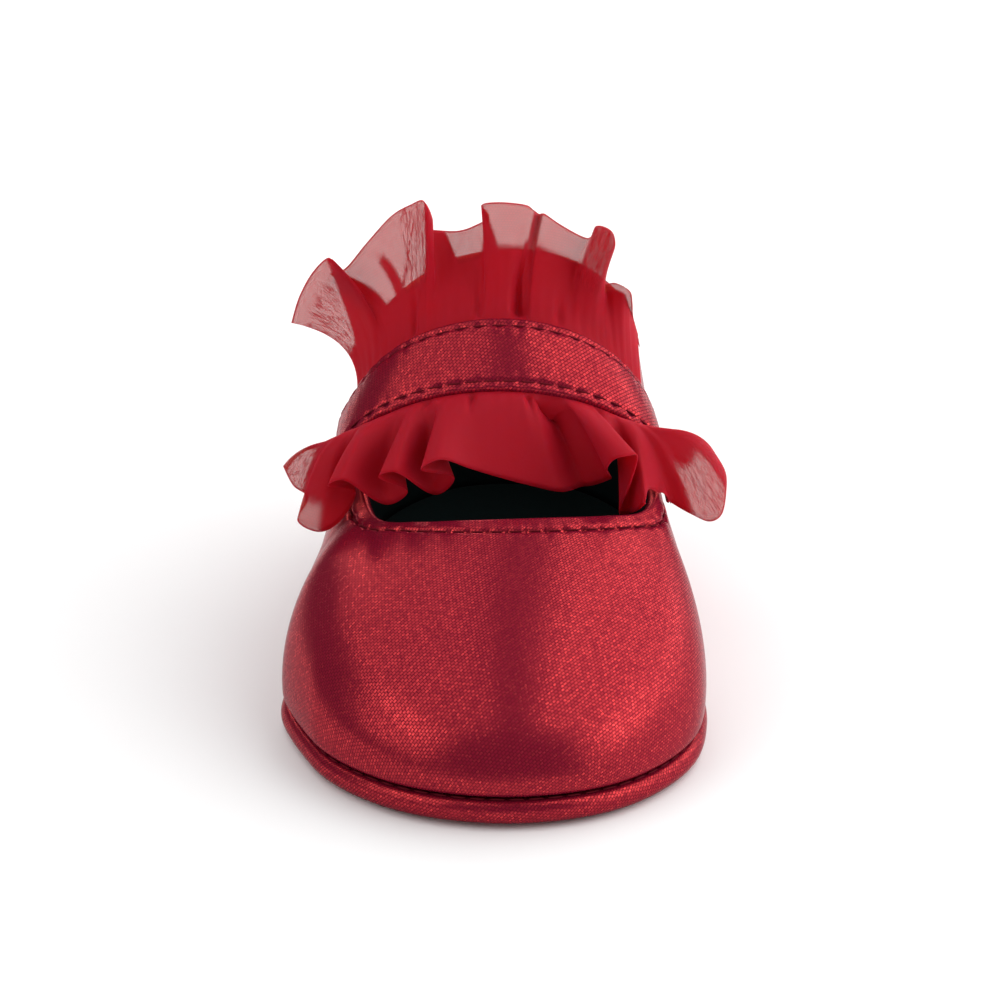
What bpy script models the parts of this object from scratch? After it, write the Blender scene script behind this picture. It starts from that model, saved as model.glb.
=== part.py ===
"""Crib shoe: a right shoe with a soft sole, a hollow upper, an instep strap and two gathered ruffles.

Sizes are in millimetres. While a piece is worked out, y runs back from the toe tip, x to the inner
side of the foot and z up from the floor; place() turns that into the shoe's own frame in metres.
"""

import math
from collections import namedtuple

import bpy
from mathutils import Vector
from mathutils.bvhtree import BVHTree

MM = 0.001
SHOE = "crib_shoe"

# The origin lies under the middle of the whole shoe.
ORIGIN_X = 0.3
ORIGIN_Y = 53.0

# Last and sole
SHOE_LENGTH = 106.0
SOLE_THICKNESS = 3.8
TOE_SPRING = 0.6
TOE_SPRING_LENGTH = 16.0
ARCH_HEIGHT = 0.8
ARCH_START = 47.0
ARCH_END = 72.0
SEAT_GAP = 0.35

# Upper
WALL = 1.8
THROAT_SHIFT = 2.6
THROAT_SLANT = 0.7
THROAT_HALF_WIDTH = 18.0
THROAT_FADE_START = 46.0
THROAT_FADE_END = 60.0
SECTION_STEPS = 4
PROFILE_STEPS = 10

# Insole
INSOLE_THICKNESS = 1.5
INSOLE_CLEARANCE = 0.8
SLAB_STEPS = 6

# Strap, measured on its inner face
STRAP_THICKNESS = 1.6
STRAP_TAIL = 5.5
STRAP_TAIL_ANGLE = 18.0
STRAP_CROWN = 0.35
STRAP_STEPS_ALONG = 40
STRAP_STEPS_ACROSS = 4
STRAP_SEAT_BLEND = 1.0
WALL_SEARCH = 12.0

# Ruffles
RUFFLE_THICKNESS = 0.5
RUFFLE_GAP = 0.6
RUFFLE_CLEARANCE = 0.9
RUFFLE_STEPS_ALONG = 3
RUFFLE_STEPS_OUT = 4
END_START = 38.0
END_FULL = 60.0
# A point this far to the side of the nearest point of the wall lies past the wall's edge.
PAST_EDGE = 0.4

# Half of the last from the toe to the heel, one row for each section. The wall of a section starts at the
# feather line on the sole and ends at the topline; swell and rise lead it out and up from the sole,
# top_out and top_drop lead it into the topline.
Section = namedtuple("Section", "feather_x feather_y top_x top_y top_z swell rise top_out top_drop")
SECTIONS = [
    Section(0.0, 0.8, 0.0, 38.0, 30.2, 2.2, 10.0, 20.0, 5.4),
    Section(14.4, 4.7, 6.5, 38.4, 30.0, 2.1, 10.0, 18.5, 5.2),
    Section(25.1, 15.4, 12.5, 40.0, 29.2, 1.8, 10.0, 14.5, 4.4),
    Section(29.6, 29.5, 18.0, 43.2, 28.0, 1.3, 10.0, 8.8, 2.9),
    Section(29.0, 41.0, 20.6, 47.8, 28.4, 1.1, 9.0, 4.4, 4.0),
    Section(26.9, 51.0, 21.2, 54.0, 30.8, 1.0, 9.0, 2.6, 6.5),
    Section(24.8, 62.0, 20.9, 63.0, 34.0, 1.0, 10.0, 1.8, 8.5),
    Section(22.9, 75.0, 19.8, 75.0, 37.6, 1.2, 11.0, 1.4, 10.0),
    Section(20.9, 90.5, 18.0, 88.5, 41.2, 1.5, 12.0, 1.2, 11.0),
    Section(11.6, 102.2, 10.2, 99.0, 43.8, 1.5, 13.0, 1.2, 11.0),
    Section(0.0, 105.2, 0.0, 102.2, 44.7, 1.5, 13.0, 1.2, 11.0),
]

# The curve of the last: how far its middle lies towards the inner side of the foot.
Curve = namedtuple("Curve", "y shift")
CENTRE_LINE = [
    Curve(0.0, 0.9),
    Curve(18.0, 0.3),
    Curve(34.0, -0.9),
    Curve(60.0, -0.4),
    Curve(106.0, 1.8),
]

# Rounded rim of the sole and edge of the insole, from the bottom up: out from the feather line, height.
Rim = namedtuple("Rim", "out height")
OUTSOLE_RIM = [
    Rim(-1.8, 0.0),
    Rim(-0.6, 0.3),
    Rim(0.4, 1.0),
    Rim(0.8, 1.9),
    Rim(0.5, 2.9),
    Rim(-0.3, 3.6),
    Rim(-1.2, SOLE_THICKNESS),
]
INSOLE_BOTTOM = SOLE_THICKNESS + SEAT_GAP
INSOLE_EDGE = [
    Rim(-WALL - INSOLE_CLEARANCE, INSOLE_BOTTOM),
    Rim(-WALL - INSOLE_CLEARANCE, INSOLE_BOTTOM + INSOLE_THICKNESS),
]

# The strap's two edges as arches over the foot: half width, foot of the arch, rise, y on top and at the sides.
Arch = namedtuple("Arch", "half_width foot_z rise top_y side_y")
STRAP_FRONT = Arch(22.6, 28.8, 14.2, 52.0, 54.0)
STRAP_BACK = Arch(20.5, 31.2, 19.3, 60.2, 65.0)

# The hem of each ruffle from the outer to the inner side, one row for each turn of a fold: angle of the
# arch where the fold is gathered into the strap, and where its hem lies.
Fold = namedtuple("Fold", "angle x y z")
LOWER_FOLDS = [
    Fold(-68, -30.6, 55.5, 29.4),
    Fold(-66, -31.0, 54.0, 30.6),
    Fold(-63, -29.5, 51.0, 29.0),
    Fold(-60, -27.4, 49.0, 28.0),
    Fold(-57, -28.8, 46.0, 25.8),
    Fold(-55, -25.6, 44.0, 25.0),
    Fold(-53, -22.6, 46.0, 26.0),
    Fold(-51, -20.6, 47.5, 29.6),
    Fold(-48, -24.2, 42.5, 32.8),
    Fold(-46, -23.0, 41.2, 34.4),
    Fold(-44, -21.2, 42.0, 33.6),
    Fold(-38, -17.4, 45.5, 29.0),
    Fold(-36, -15.0, 45.5, 28.8),
    Fold(-34.5, -13.2, 45.0, 31.0),
    Fold(-31.5, -17.0, 41.5, 34.6),
    Fold(-30, -15.6, 40.5, 36.0),
    Fold(-28.5, -13.8, 41.2, 35.2),
    Fold(-25.5, -10.2, 46.0, 30.2),
    Fold(-24, -8.0, 46.2, 30.2),
    Fold(-22.5, -6.6, 44.5, 33.4),
    Fold(-20, -11.0, 41.0, 36.0),
    Fold(-18, -9.6, 40.0, 37.8),
    Fold(-15, -7.6, 40.6, 37.8),
    Fold(-8, -4.2, 42.5, 35.6),
    Fold(0, 0.0, 43.8, 33.6),
    Fold(7, 5.0, 45.0, 31.6),
    Fold(13, 9.2, 46.0, 30.2),
    Fold(18, 12.8, 47.0, 30.2),
    Fold(22, 15.4, 48.0, 31.0),
    Fold(24, 15.0, 44.0, 34.6),
    Fold(27, 16.0, 41.5, 37.4),
    Fold(31, 18.0, 41.2, 38.2),
    Fold(34, 19.4, 42.5, 37.4),
    Fold(37, 18.4, 45.0, 31.8),
    Fold(40, 17.0, 46.2, 27.0),
    Fold(42, 18.6, 46.8, 26.6),
    Fold(44, 20.4, 43.5, 29.4),
    Fold(46, 21.2, 45.5, 31.0),
    Fold(48, 24.2, 49.5, 27.2),
    Fold(50, 27.2, 49.5, 26.2),
    Fold(51.5, 30.0, 50.5, 23.6),
    Fold(53, 31.4, 51.0, 24.8),
    Fold(55, 32.4, 52.0, 28.0),
    Fold(57, 32.2, 53.5, 30.2),
    Fold(59, 30.6, 55.0, 32.6),
]
UPPER_FOLDS = [
    Fold(-72, -30.2, 70.0, 46.2),
    Fold(-68, -29.0, 69.0, 50.6),
    Fold(-63, -27.0, 67.0, 55.2),
    Fold(-58, -24.6, 64.5, 58.6),
    Fold(-55, -23.4, 66.0, 56.6),
    Fold(-52, -24.4, 68.5, 54.4),
    Fold(-49, -22.2, 69.0, 55.2),
    Fold(-45, -19.2, 67.0, 59.8),
    Fold(-40, -15.6, 65.0, 64.8),
    Fold(-35, -12.8, 63.0, 67.4),
    Fold(-31, -10.8, 61.0, 68.8),
    Fold(-28, -9.6, 64.0, 64.6),
    Fold(-25, -10.4, 67.0, 62.2),
    Fold(-21, -8.2, 68.5, 61.2),
    Fold(-15, -5.8, 68.5, 61.2),
    Fold(-10, -3.6, 68.0, 62.2),
    Fold(-7, -1.6, 66.0, 64.4),
    Fold(-5, -2.6, 62.5, 67.6),
    Fold(-1, 0.0, 62.0, 68.2),
    Fold(5, 3.6, 63.0, 67.4),
    Fold(9, 4.8, 64.0, 66.2),
    Fold(10.5, 5.6, 66.5, 64.6),
    Fold(12.5, 6.4, 64.5, 65.4),
    Fold(17, 8.6, 65.5, 63.4),
    Fold(23, 11.6, 67.0, 61.0),
    Fold(28, 13.0, 67.5, 60.6),
    Fold(32, 13.8, 63.0, 64.2),
    Fold(37, 15.8, 61.5, 64.0),
    Fold(41, 16.4, 62.5, 61.6),
    Fold(45, 15.6, 66.0, 57.0),
    Fold(49, 15.0, 69.0, 52.8),
    Fold(53, 16.6, 68.0, 53.2),
    Fold(57, 18.6, 66.0, 52.8),
    Fold(61, 19.0, 66.5, 50.8),
    Fold(66, 19.2, 68.5, 47.6),
    Fold(72, 20.2, 70.0, 42.4),
]

# How each ruffle hangs: the strap's edge it leaves (0 front, 1 back), how far it runs on in the strap's own
# direction before it turns to its hem, how far it bows out, and how far its ends flare out and stand up.
Ruffle = namedtuple("Ruffle", "edge lead bow outer_flare inner_flare outer_rise inner_rise")
LOWER_RUFFLE = Ruffle(0.0, 3.5, 3.0, 3.5, 7.0, 0.0, 4.0)
UPPER_RUFFLE = Ruffle(1.0, 7.0, 0.6, 0.0, 0.0, 9.0, 9.0)

SATIN_RED = (0.42, 0.022, 0.033)
CHIFFON_RED = (0.38, 0.012, 0.024)
LINING_BLACK = (0.012, 0.012, 0.014)


def clear_scene():
    """Remove every object, so that the script can be run again."""
    for old in list(bpy.data.objects):
        bpy.data.objects.remove(old, do_unlink=True)


def place(x, y, z):
    """A point of the last, in the shoe's own frame."""
    return Vector(((x - ORIGIN_X) * MM, (y - ORIGIN_Y) * MM, z * MM))


def smooth(value, start, end):
    """Rise from 0 at start to 1 at end with level ends."""
    t = min(max((value - start) / (end - start), 0.0), 1.0)
    return t * t * (3.0 - 2.0 * t)


def catmull_rom(before, a, b, after, t):
    """Point at t between rows a and b of a smooth curve, column by column."""
    return [
        0.5 * (2 * q + (r - p) * t + (2 * p - 5 * q + 4 * r - s) * t * t + (3 * q - p - 3 * r + s) * t ** 3)
        for p, q, r, s in zip(before, a, b, after)
    ]


def closed_curve(rows, steps):
    """Smooth closed curve through rows."""
    count = len(rows)
    return [
        catmull_rom(rows[i - 1], rows[i], rows[(i + 1) % count], rows[(i + 2) % count], k / steps)
        for i in range(count)
        for k in range(steps)
    ]


def open_curve(rows, steps):
    """Smooth open curve through rows."""
    ends = [rows[0], *rows, rows[-1]]
    curve = [
        catmull_rom(*ends[i : i + 4], k / steps)
        for i in range(len(rows) - 1)
        for k in range(steps)
    ]
    return [*curve, list(rows[-1])]


def centre_shift(y):
    """Sideways shift of the middle of the last at y."""
    for a, b in zip(CENTRE_LINE, CENTRE_LINE[1:]):
        if y <= b.y:
            return a.shift + (b.shift - a.shift) * smooth(y, a.y, b.y)
    return CENTRE_LINE[-1].shift


def sole_lift(y):
    """Height of the sole's underside over the floor: toe spring and arch."""
    toe = max(0.0, (TOE_SPRING_LENGTH - y) / TOE_SPRING_LENGTH)
    along = min(max((y - ARCH_START) / (ARCH_END - ARCH_START), 0.0), 1.0)
    return TOE_SPRING * toe ** 2 + ARCH_HEIGHT * math.sin(math.pi * along) ** 2


def section_rows():
    """Sections all round the last: down the inner side from the toe and back up the outer side."""
    back = [row._replace(feather_x=-row.feather_x, top_x=-row.top_x) for row in SECTIONS[-2:0:-1]]
    return [Section(*row) for row in closed_curve([*SECTIONS, *back], SECTION_STEPS)]


def feather_line(sections):
    """Plan of the last on the sole: points and outward directions."""
    points = [Vector((s.feather_x + centre_shift(s.feather_y), s.feather_y)) for s in sections]
    count = len(points)
    outward = []
    for i in range(count):
        along = points[(i + 1) % count] - points[i - 1]
        outward.append(Vector((along.y, -along.x)).normalized())
    return points, outward


def topline_point(section):
    """Top of a section's wall on the last, and its shift where the throat is cut askew."""
    throat = 1.0 - smooth(section.top_y, THROAT_FADE_START, THROAT_FADE_END)
    shift = Vector((THROAT_SHIFT, 0.0, THROAT_SLANT * section.top_x / THROAT_HALF_WIDTH))
    return Vector((section.top_x + centre_shift(section.top_y), section.top_y, section.top_z)), shift * throat


def wall_profile(section, foot, outward):
    """Outer face of the wall from the feather line to the topline, as one Bezier curve."""
    out = Vector((outward.x, outward.y, 0.0))
    start = Vector((foot.x, foot.y, SOLE_THICKNESS + SEAT_GAP + sole_lift(foot.y)))
    top, shift = topline_point(section)
    end = top + shift
    first = start + out * section.swell + Vector((0.0, 0.0, section.rise))
    second = top + out * section.top_out - Vector((0.0, 0.0, section.top_drop))
    profile = []
    for k in range(PROFILE_STEPS + 1):
        t = k / PROFILE_STEPS
        u = 1.0 - t
        profile.append(start * u ** 3 + first * 3 * u * u * t + second * 3 * u * t * t + end * t ** 3)
    return profile


def upper_wall():
    """Outer face of the upper: one profile for each section, all round the last."""
    sections = section_rows()
    points, outward = feather_line(sections)
    return [wall_profile(*row) for row in zip(sections, points, outward)]


def grid_faces(rows, columns, closed):
    """Quads of a grid of rows, each with the given number of columns."""
    last = rows if closed else rows - 1
    faces = []
    for i in range(last):
        j = (i + 1) % rows
        for k in range(columns - 1):
            faces.append((i * columns + k, j * columns + k, j * columns + k + 1, i * columns + k + 1))
    return faces


def new_part(name, points, faces, colour, roughness):
    """One named object from points of the last, with a material of its own."""
    mesh = bpy.data.meshes.new(name)
    mesh.from_pydata([place(*p) for p in points], [], faces)
    mesh.update()
    mesh.shade_smooth()
    material = bpy.data.materials.new(name)
    material.use_nodes = True
    shader = material.node_tree.nodes["Principled BSDF"]
    shader.inputs["Base Color"].default_value = (*colour, 1.0)
    shader.inputs["Roughness"].default_value = roughness
    shader.inputs["Metallic"].default_value = 0.0
    mesh.materials.append(material)
    part = bpy.data.objects.new(name, mesh)
    bpy.data.collections[SHOE].objects.link(part)
    return part


def thicken(part, thickness, offset):
    """Give an open surface its wall: offset 1 grows along the normals, -1 against them."""
    solidify = part.modifiers.new("wall", "SOLIDIFY")
    solidify.thickness = thickness * MM
    solidify.offset = offset
    solidify.use_even_offset = False
    solidify.use_rim = True


def make_slab(name, rim, colour, roughness):
    """Closed slab inside the feather line: rings up its edge, cross lines over its two faces."""
    points, outward = feather_line(section_rows())
    count = len(points)
    half = count // 2
    vertices = []
    for level in rim:
        for foot, out in zip(points, outward):
            at = foot + out * level.out
            vertices.append((at.x, at.y, level.height + sole_lift(foot.y)))
    faces = []
    for ring in range(len(rim) - 1):
        for i in range(count):
            j = (i + 1) % count
            low = ring * count
            faces.append((low + i, low + j, low + count + j, low + count + i))
    for ring, upward in ((0, False), (len(rim) - 1, True)):
        faces += face_across(vertices, ring * count, half, rim[ring].height, upward)
    return new_part(name, vertices, faces, colour, roughness)


def face_across(vertices, first, half, height, upward):
    """Fill one face of a slab with lines from its inner to its outer side."""
    lines = [[first] * (SLAB_STEPS + 1)]
    for i in range(1, half):
        inner = first + i
        outer = first + 2 * half - i
        line = [inner]
        for k in range(1, SLAB_STEPS):
            at = Vector(vertices[inner]).lerp(Vector(vertices[outer]), k / SLAB_STEPS)
            line.append(len(vertices))
            vertices.append((at.x, at.y, height + sole_lift(at.y)))
        lines.append([*line, outer])
    lines.append([first + half] * (SLAB_STEPS + 1))
    faces = []
    for a, b in zip(lines, lines[1:]):
        for k in range(SLAB_STEPS):
            corners = [a[k], b[k], b[k + 1], a[k + 1]]
            ring = list(dict.fromkeys(corners))
            faces.append(ring if upward else ring[::-1])
    return faces


def make_upper(wall):
    """Vamp and quarters in one shell, open at the throat and collar and underneath."""
    points = [p for profile in wall for p in profile]
    faces = grid_faces(len(wall), PROFILE_STEPS + 1, True)
    part = new_part("upper", points, faces, SATIN_RED, 0.4)
    thicken(part, WALL, -1.0)
    return part


def wall_tree(wall):
    """The upper's outer face as a search tree, in millimetres."""
    points = [p for profile in wall for p in profile]
    return BVHTree.FromPolygons(points, grid_faces(len(wall), PROFILE_STEPS + 1, True))


def arch_point(arch, angle):
    """Point of a strap edge: an ellipse over the foot that runs down into straight tails."""
    side = math.copysign(1.0, angle)
    turn = math.radians(min(abs(angle), 90.0))
    tail = max(abs(angle) - 90.0, 0.0) / STRAP_TAIL_ANGLE * STRAP_TAIL
    y = arch.top_y + (arch.side_y - arch.top_y) * (1.0 - math.cos(turn))
    return Vector((side * arch.half_width * math.sin(turn), y, arch.foot_z + arch.rise * math.cos(turn) - tail))


def seated(point, tree):
    """Move a strap point out until it lies on the quarter's outer face."""
    side = math.copysign(1.0, point.x)
    far = Vector((side * 2.0 * SHOE_LENGTH, point.y, point.z))
    hit = tree.ray_cast(far, Vector((-side, 0.0, 0.0)))[0]
    if hit is None or hit.x * side < WALL_SEARCH:
        return point
    spread = point.x * side
    seat = hit.x * side + SEAT_GAP
    reach = 0.5 * (spread + seat + math.hypot(spread - seat, STRAP_SEAT_BLEND))
    return Vector((side * reach, point.y, point.z))


def strap_point(angle, across, tree):
    """Inner face of the strap: across runs from 0 at the front edge to 1 at the back edge."""
    front = arch_point(STRAP_FRONT, angle)
    back = arch_point(STRAP_BACK, angle)
    point = seated(front.lerp(back, across), tree)
    crown = STRAP_CROWN * 4.0 * across * (1.0 - across)
    return point + strap_outward(angle) * crown


def strap_outward(angle):
    """Direction away from the foot at an angle of the strap's arch."""
    turn = math.radians(max(-90.0, min(90.0, angle)))
    slope = (STRAP_BACK.top_y - STRAP_FRONT.top_y) / math.cos(turn / 2.0)
    lift = (STRAP_BACK.foot_z + STRAP_BACK.rise - STRAP_FRONT.foot_z - STRAP_FRONT.rise) * math.cos(turn)
    return Vector((math.sin(turn) * slope, -lift * math.cos(turn), math.cos(turn) * slope)).normalized()


def make_strap(tree):
    """Band over the instep whose tails lie on the outside of the quarters."""
    reach = 90.0 + STRAP_TAIL_ANGLE
    points = []
    for i in range(STRAP_STEPS_ALONG + 1):
        angle = -reach + 2.0 * reach * i / STRAP_STEPS_ALONG
        for k in range(STRAP_STEPS_ACROSS + 1):
            points.append(strap_point(angle, k / STRAP_STEPS_ACROSS, tree))
    faces = grid_faces(STRAP_STEPS_ALONG + 1, STRAP_STEPS_ACROSS + 1, False)
    part = new_part("strap", points, faces, SATIN_RED, 0.4)
    thicken(part, STRAP_THICKNESS, 1.0)
    return part


def gather_point(angle, edge, tree):
    """Where a ruffle leaves the strap, beside its edge at half its thickness, and in which direction."""
    lift = strap_outward(angle) * STRAP_THICKNESS / 2.0
    at = strap_point(angle, edge, tree) + lift
    along = (at - strap_point(angle, 0.5, tree) - lift).normalized()
    return at + along * RUFFLE_GAP, along


def clear_of_wall(point, tree):
    """Keep a ruffle out of the wall, on the side where it hangs; past the topline it is free."""
    nearest, normal = tree.find_nearest(point)[:2]
    offset = point - nearest
    height = offset.dot(normal)
    inside = -WALL - RUFFLE_CLEARANCE
    past_edge = (offset - normal * height).length > PAST_EDGE
    if past_edge or height < inside or height > RUFFLE_CLEARANCE:
        return point
    side = RUFFLE_CLEARANCE if height > -WALL / 2.0 else inside
    return point + normal * (side - height)


def ruffle_turn(angle, ruffle, tree):
    """Where a ruffle leaves the strap, and the point by which it turns to its hem."""
    root, along = gather_point(angle, ruffle.edge, tree)
    end = smooth(abs(angle), END_START, END_FULL)
    flare = ruffle.outer_flare if angle < 0.0 else ruffle.inner_flare
    rise = ruffle.outer_rise if angle < 0.0 else ruffle.inner_rise
    out = strap_outward(angle) * (ruffle.bow + flare * end)
    return root, root + along * ruffle.lead + out + Vector((0.0, 0.0, rise * end))


def make_ruffle(name, folds, ruffle, tree):
    """Gathered strip from an edge of the strap to its folded hem."""
    hem = [Fold(*row) for row in open_curve(folds, RUFFLE_STEPS_ALONG)]
    points = []
    for fold in hem:
        root, turn = ruffle_turn(fold.angle, ruffle, tree)
        tip = Vector((fold.x, fold.y, fold.z))
        for k in range(RUFFLE_STEPS_OUT + 1):
            t = k / RUFFLE_STEPS_OUT
            point = root.lerp(turn, t).lerp(turn.lerp(tip, t), t)
            points.append(clear_of_wall(point, tree) if k else point)
    faces = grid_faces(len(hem), RUFFLE_STEPS_OUT + 1, False)
    part = new_part(name, points, faces, CHIFFON_RED, 0.6)
    thicken(part, RUFFLE_THICKNESS, 0.0)
    return part


def main():
    clear_scene()
    collection = bpy.data.collections.get(SHOE) or bpy.data.collections.new(SHOE)
    if SHOE not in bpy.context.scene.collection.children:
        bpy.context.scene.collection.children.link(collection)
    wall = upper_wall()
    tree = wall_tree(wall)
    make_slab("outsole", OUTSOLE_RIM, SATIN_RED, 0.45)
    make_slab("insole", INSOLE_EDGE, LINING_BLACK, 0.8)
    make_upper(wall)
    make_strap(tree)
    make_ruffle("ruffle_lower", LOWER_FOLDS, LOWER_RUFFLE, tree)
    make_ruffle("ruffle_upper", UPPER_FOLDS, UPPER_RUFFLE, tree)


main()
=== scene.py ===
"""Looks of the crib shoe: satin upper, sole and strap, chiffon ruffles, a dark lining and the sewing.

Sizes are in millimetres. While a piece is worked out, y runs back from the toe tip, x to the inner
side of the foot and z up from the floor; place() turns that into the shoe's own frame in metres.
"""

import math
from collections import namedtuple

import bmesh
import bpy
import numpy as np
from bpy.props import FloatProperty, FloatVectorProperty, PointerProperty
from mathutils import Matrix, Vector
from mathutils.bvhtree import BVHTree


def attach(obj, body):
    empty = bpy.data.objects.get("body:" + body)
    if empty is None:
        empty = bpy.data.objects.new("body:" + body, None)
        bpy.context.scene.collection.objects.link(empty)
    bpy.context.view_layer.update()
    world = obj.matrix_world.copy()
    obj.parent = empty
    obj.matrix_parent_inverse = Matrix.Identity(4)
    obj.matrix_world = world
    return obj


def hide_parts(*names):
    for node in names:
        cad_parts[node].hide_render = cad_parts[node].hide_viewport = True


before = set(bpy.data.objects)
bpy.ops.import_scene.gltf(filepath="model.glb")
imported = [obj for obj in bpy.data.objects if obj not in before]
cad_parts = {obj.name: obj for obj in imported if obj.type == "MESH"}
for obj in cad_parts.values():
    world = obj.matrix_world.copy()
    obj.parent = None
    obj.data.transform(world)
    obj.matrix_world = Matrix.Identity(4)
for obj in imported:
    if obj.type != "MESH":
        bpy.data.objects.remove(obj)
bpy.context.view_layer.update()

bl_info = {
    "name": "Crib shoe",
    "version": (1, 0, 0),
    "blender": (4, 5, 0),
    "location": "3D View > Sidebar > Crib shoe",
    "description": "Dresses the solids of a crib shoe in satin, chiffon, lining and sewing",
    "category": "Object",
}

MM = 0.001
FLAT = "flat"

# The origin lies under the middle of the whole shoe.
ORIGIN_X = 0.3
ORIGIN_Y = 53.0

# Last and sole
SHOE_LENGTH = 106.0
SOLE_THICKNESS = 3.8
TOE_SPRING = 0.6
TOE_SPRING_LENGTH = 16.0
ARCH_HEIGHT = 0.8
ARCH_START = 47.0
ARCH_END = 72.0
SEAT_GAP = 0.35

# Upper
WALL = 1.8
THROAT_SHIFT = 2.6
THROAT_SLANT = 0.7
THROAT_HALF_WIDTH = 18.0
THROAT_FADE_START = 46.0
THROAT_FADE_END = 60.0
SECTION_STEPS = 28
PROFILE_STEPS = 240

# Distances up the wall from the sole and down from the topline where its mesh is fine.
FOOT_ROWS = np.array([0.0, 0.15, 0.3, 0.5, 0.75, 1.05, 1.4, 1.9, 2.6, 3.5])
TOP_ROWS = np.array([5.6, 4.9, 4.3, 3.9, 3.6, 3.35, 3.15, 3.0, 2.85, 2.65, 2.4, 2.1, 1.7, 1.2, 0.85, 0.6])
MIDDLE_ROWS = 16
LIP_STEPS = 8
LIP_HEIGHT = 0.6
FOOT_TUCK = 0.8
FOOT_TUCK_HEIGHT = 1.4
LINING_DROP = 1.5
LINING_GAP = 0.05
LINING_THICKNESS = 0.35
LINING_FOOT_ROWS = np.array([0.3, 2.0])
LINING_TOP_ROWS = np.array([6.0, 3.5, LINING_DROP])
LINING_COLUMNS_PER_SECTION = 4

# Insole
INSOLE_THICKNESS = 1.5
INSOLE_CLEARANCE = 0.8
SLAB_STEPS = 12
RIM_STEPS = 5

# Strap, measured on its inner face
STRAP_THICKNESS = 1.6
STRAP_TAIL = 4.0
STRAP_TAIL_ANGLE = 18.0
STRAP_CROWN = 0.35
STRAP_STEPS_ALONG = 300
STRAP_STEPS_ACROSS = 40
STRAP_SEAT_BLEND = 1.0
STRAP_END_SHARE = 0.4
STRAP_THIN_FROM = 74.0
WALL_TREE_STEPS = 40
# The quarters lie at least this far from the middle.
WALL_SEARCH = 12.0

# Ruffles
RUFFLE_CLEARANCE = 0.9
RUFFLE_STEPS_ALONG = 14
RUFFLE_STEPS_OUT = 28
RUFFLE_TUCK = 1.2
END_START = 38.0
END_FULL = 60.0
# A point this far to the side of the nearest point of the wall lies past the wall's edge.
PAST_EDGE = 0.4
# Where a band of cloth starts and ends it fades over this many degrees, and over this share of the
# ruffle's height.
BAND_FADE_ANGLE = 0.5
BAND_FADE_OUT = 0.035
# Share of a ruffle's height over which its gathers and creases begin at the strap, how fast the gathers
# fade towards the hem, and how far and how often they drift from an even pitch.
GATHER_START = 0.12
GATHER_FADE = 1.5
GATHER_DRIFT = 1.3
GATHER_DRIFT_RUN = 2.3

# Half of the last from the toe to the heel, one row for each section. The wall of a section starts at the
# feather line on the sole and ends at the topline; swell and rise lead it out and up from the sole,
# top_out and top_drop lead it into the topline.
Section = namedtuple("Section", "feather_x feather_y top_x top_y top_z swell rise top_out top_drop")
SECTIONS = [
    Section(0.0, 0.8, 0.0, 38.0, 30.2, 2.2, 10.0, 20.0, 5.4),
    Section(14.4, 4.7, 6.5, 38.4, 30.0, 2.1, 10.0, 18.5, 5.2),
    Section(25.1, 15.4, 12.5, 40.0, 29.2, 1.8, 10.0, 14.5, 4.4),
    Section(29.6, 29.5, 18.0, 43.2, 28.0, 1.3, 10.0, 8.8, 2.9),
    Section(29.0, 41.0, 20.6, 47.8, 28.4, 1.1, 9.0, 4.4, 4.0),
    Section(26.9, 51.0, 21.2, 54.0, 30.8, 1.0, 9.0, 2.6, 6.5),
    Section(24.8, 62.0, 20.9, 63.0, 34.0, 1.0, 10.0, 1.8, 8.5),
    Section(22.9, 75.0, 19.8, 75.0, 37.6, 1.2, 11.0, 1.4, 10.0),
    Section(20.9, 90.5, 18.0, 88.5, 41.2, 1.5, 12.0, 1.2, 11.0),
    Section(11.6, 102.2, 10.2, 99.0, 43.8, 1.5, 13.0, 1.2, 11.0),
    Section(0.0, 105.2, 0.0, 102.2, 44.7, 1.5, 13.0, 1.2, 11.0),
]

# The curve of the last: how far its middle lies towards the inner side of the foot.
Curve = namedtuple("Curve", "y shift")
CENTRE_LINE = [
    Curve(0.0, 0.9),
    Curve(18.0, 0.3),
    Curve(34.0, -0.9),
    Curve(60.0, -0.4),
    Curve(106.0, 1.8),
]

# Rounded rim of the sole and edge of the insole, from the bottom up: out from the feather line, height.
Rim = namedtuple("Rim", "out height")
OUTSOLE_RIM = [
    Rim(-1.8, 0.0),
    Rim(-0.6, 0.3),
    Rim(0.1, 1.0),
    Rim(0.4, 1.9),
    Rim(0.2, 2.9),
    Rim(-0.4, 3.6),
    Rim(-1.2, SOLE_THICKNESS),
]
INSOLE_BOTTOM = SOLE_THICKNESS + SEAT_GAP
INSOLE_OUT = -WALL - INSOLE_CLEARANCE
INSOLE_ROUND = [
    Rim(-0.3, 0.0),
    Rim(0.0, 0.4),
    Rim(0.0, 1.1),
    Rim(-0.5, INSOLE_THICKNESS),
]
INSOLE_EDGE = [Rim(INSOLE_OUT + row.out, INSOLE_BOTTOM + row.height) for row in INSOLE_ROUND]

# The strap's two edges as arches over the foot: half width, foot of the arch, rise, and y on top and at
# the sides.
Arch = namedtuple("Arch", "half_width foot_z rise top_y side_y")
STRAP_FRONT = Arch(22.6, 28.8, 14.2, 52.0, 54.0)
STRAP_BACK = Arch(20.5, 31.2, 19.3, 60.2, 65.0)

# The strap leaves the quarters gently, as if their wall ran on above the topline and turned in.
Lead = namedtuple("Lead", "inward up")
STRAP_LEADS = [
    Lead(3.2, 4.0),
    Lead(9.5, 6.5),
]

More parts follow.
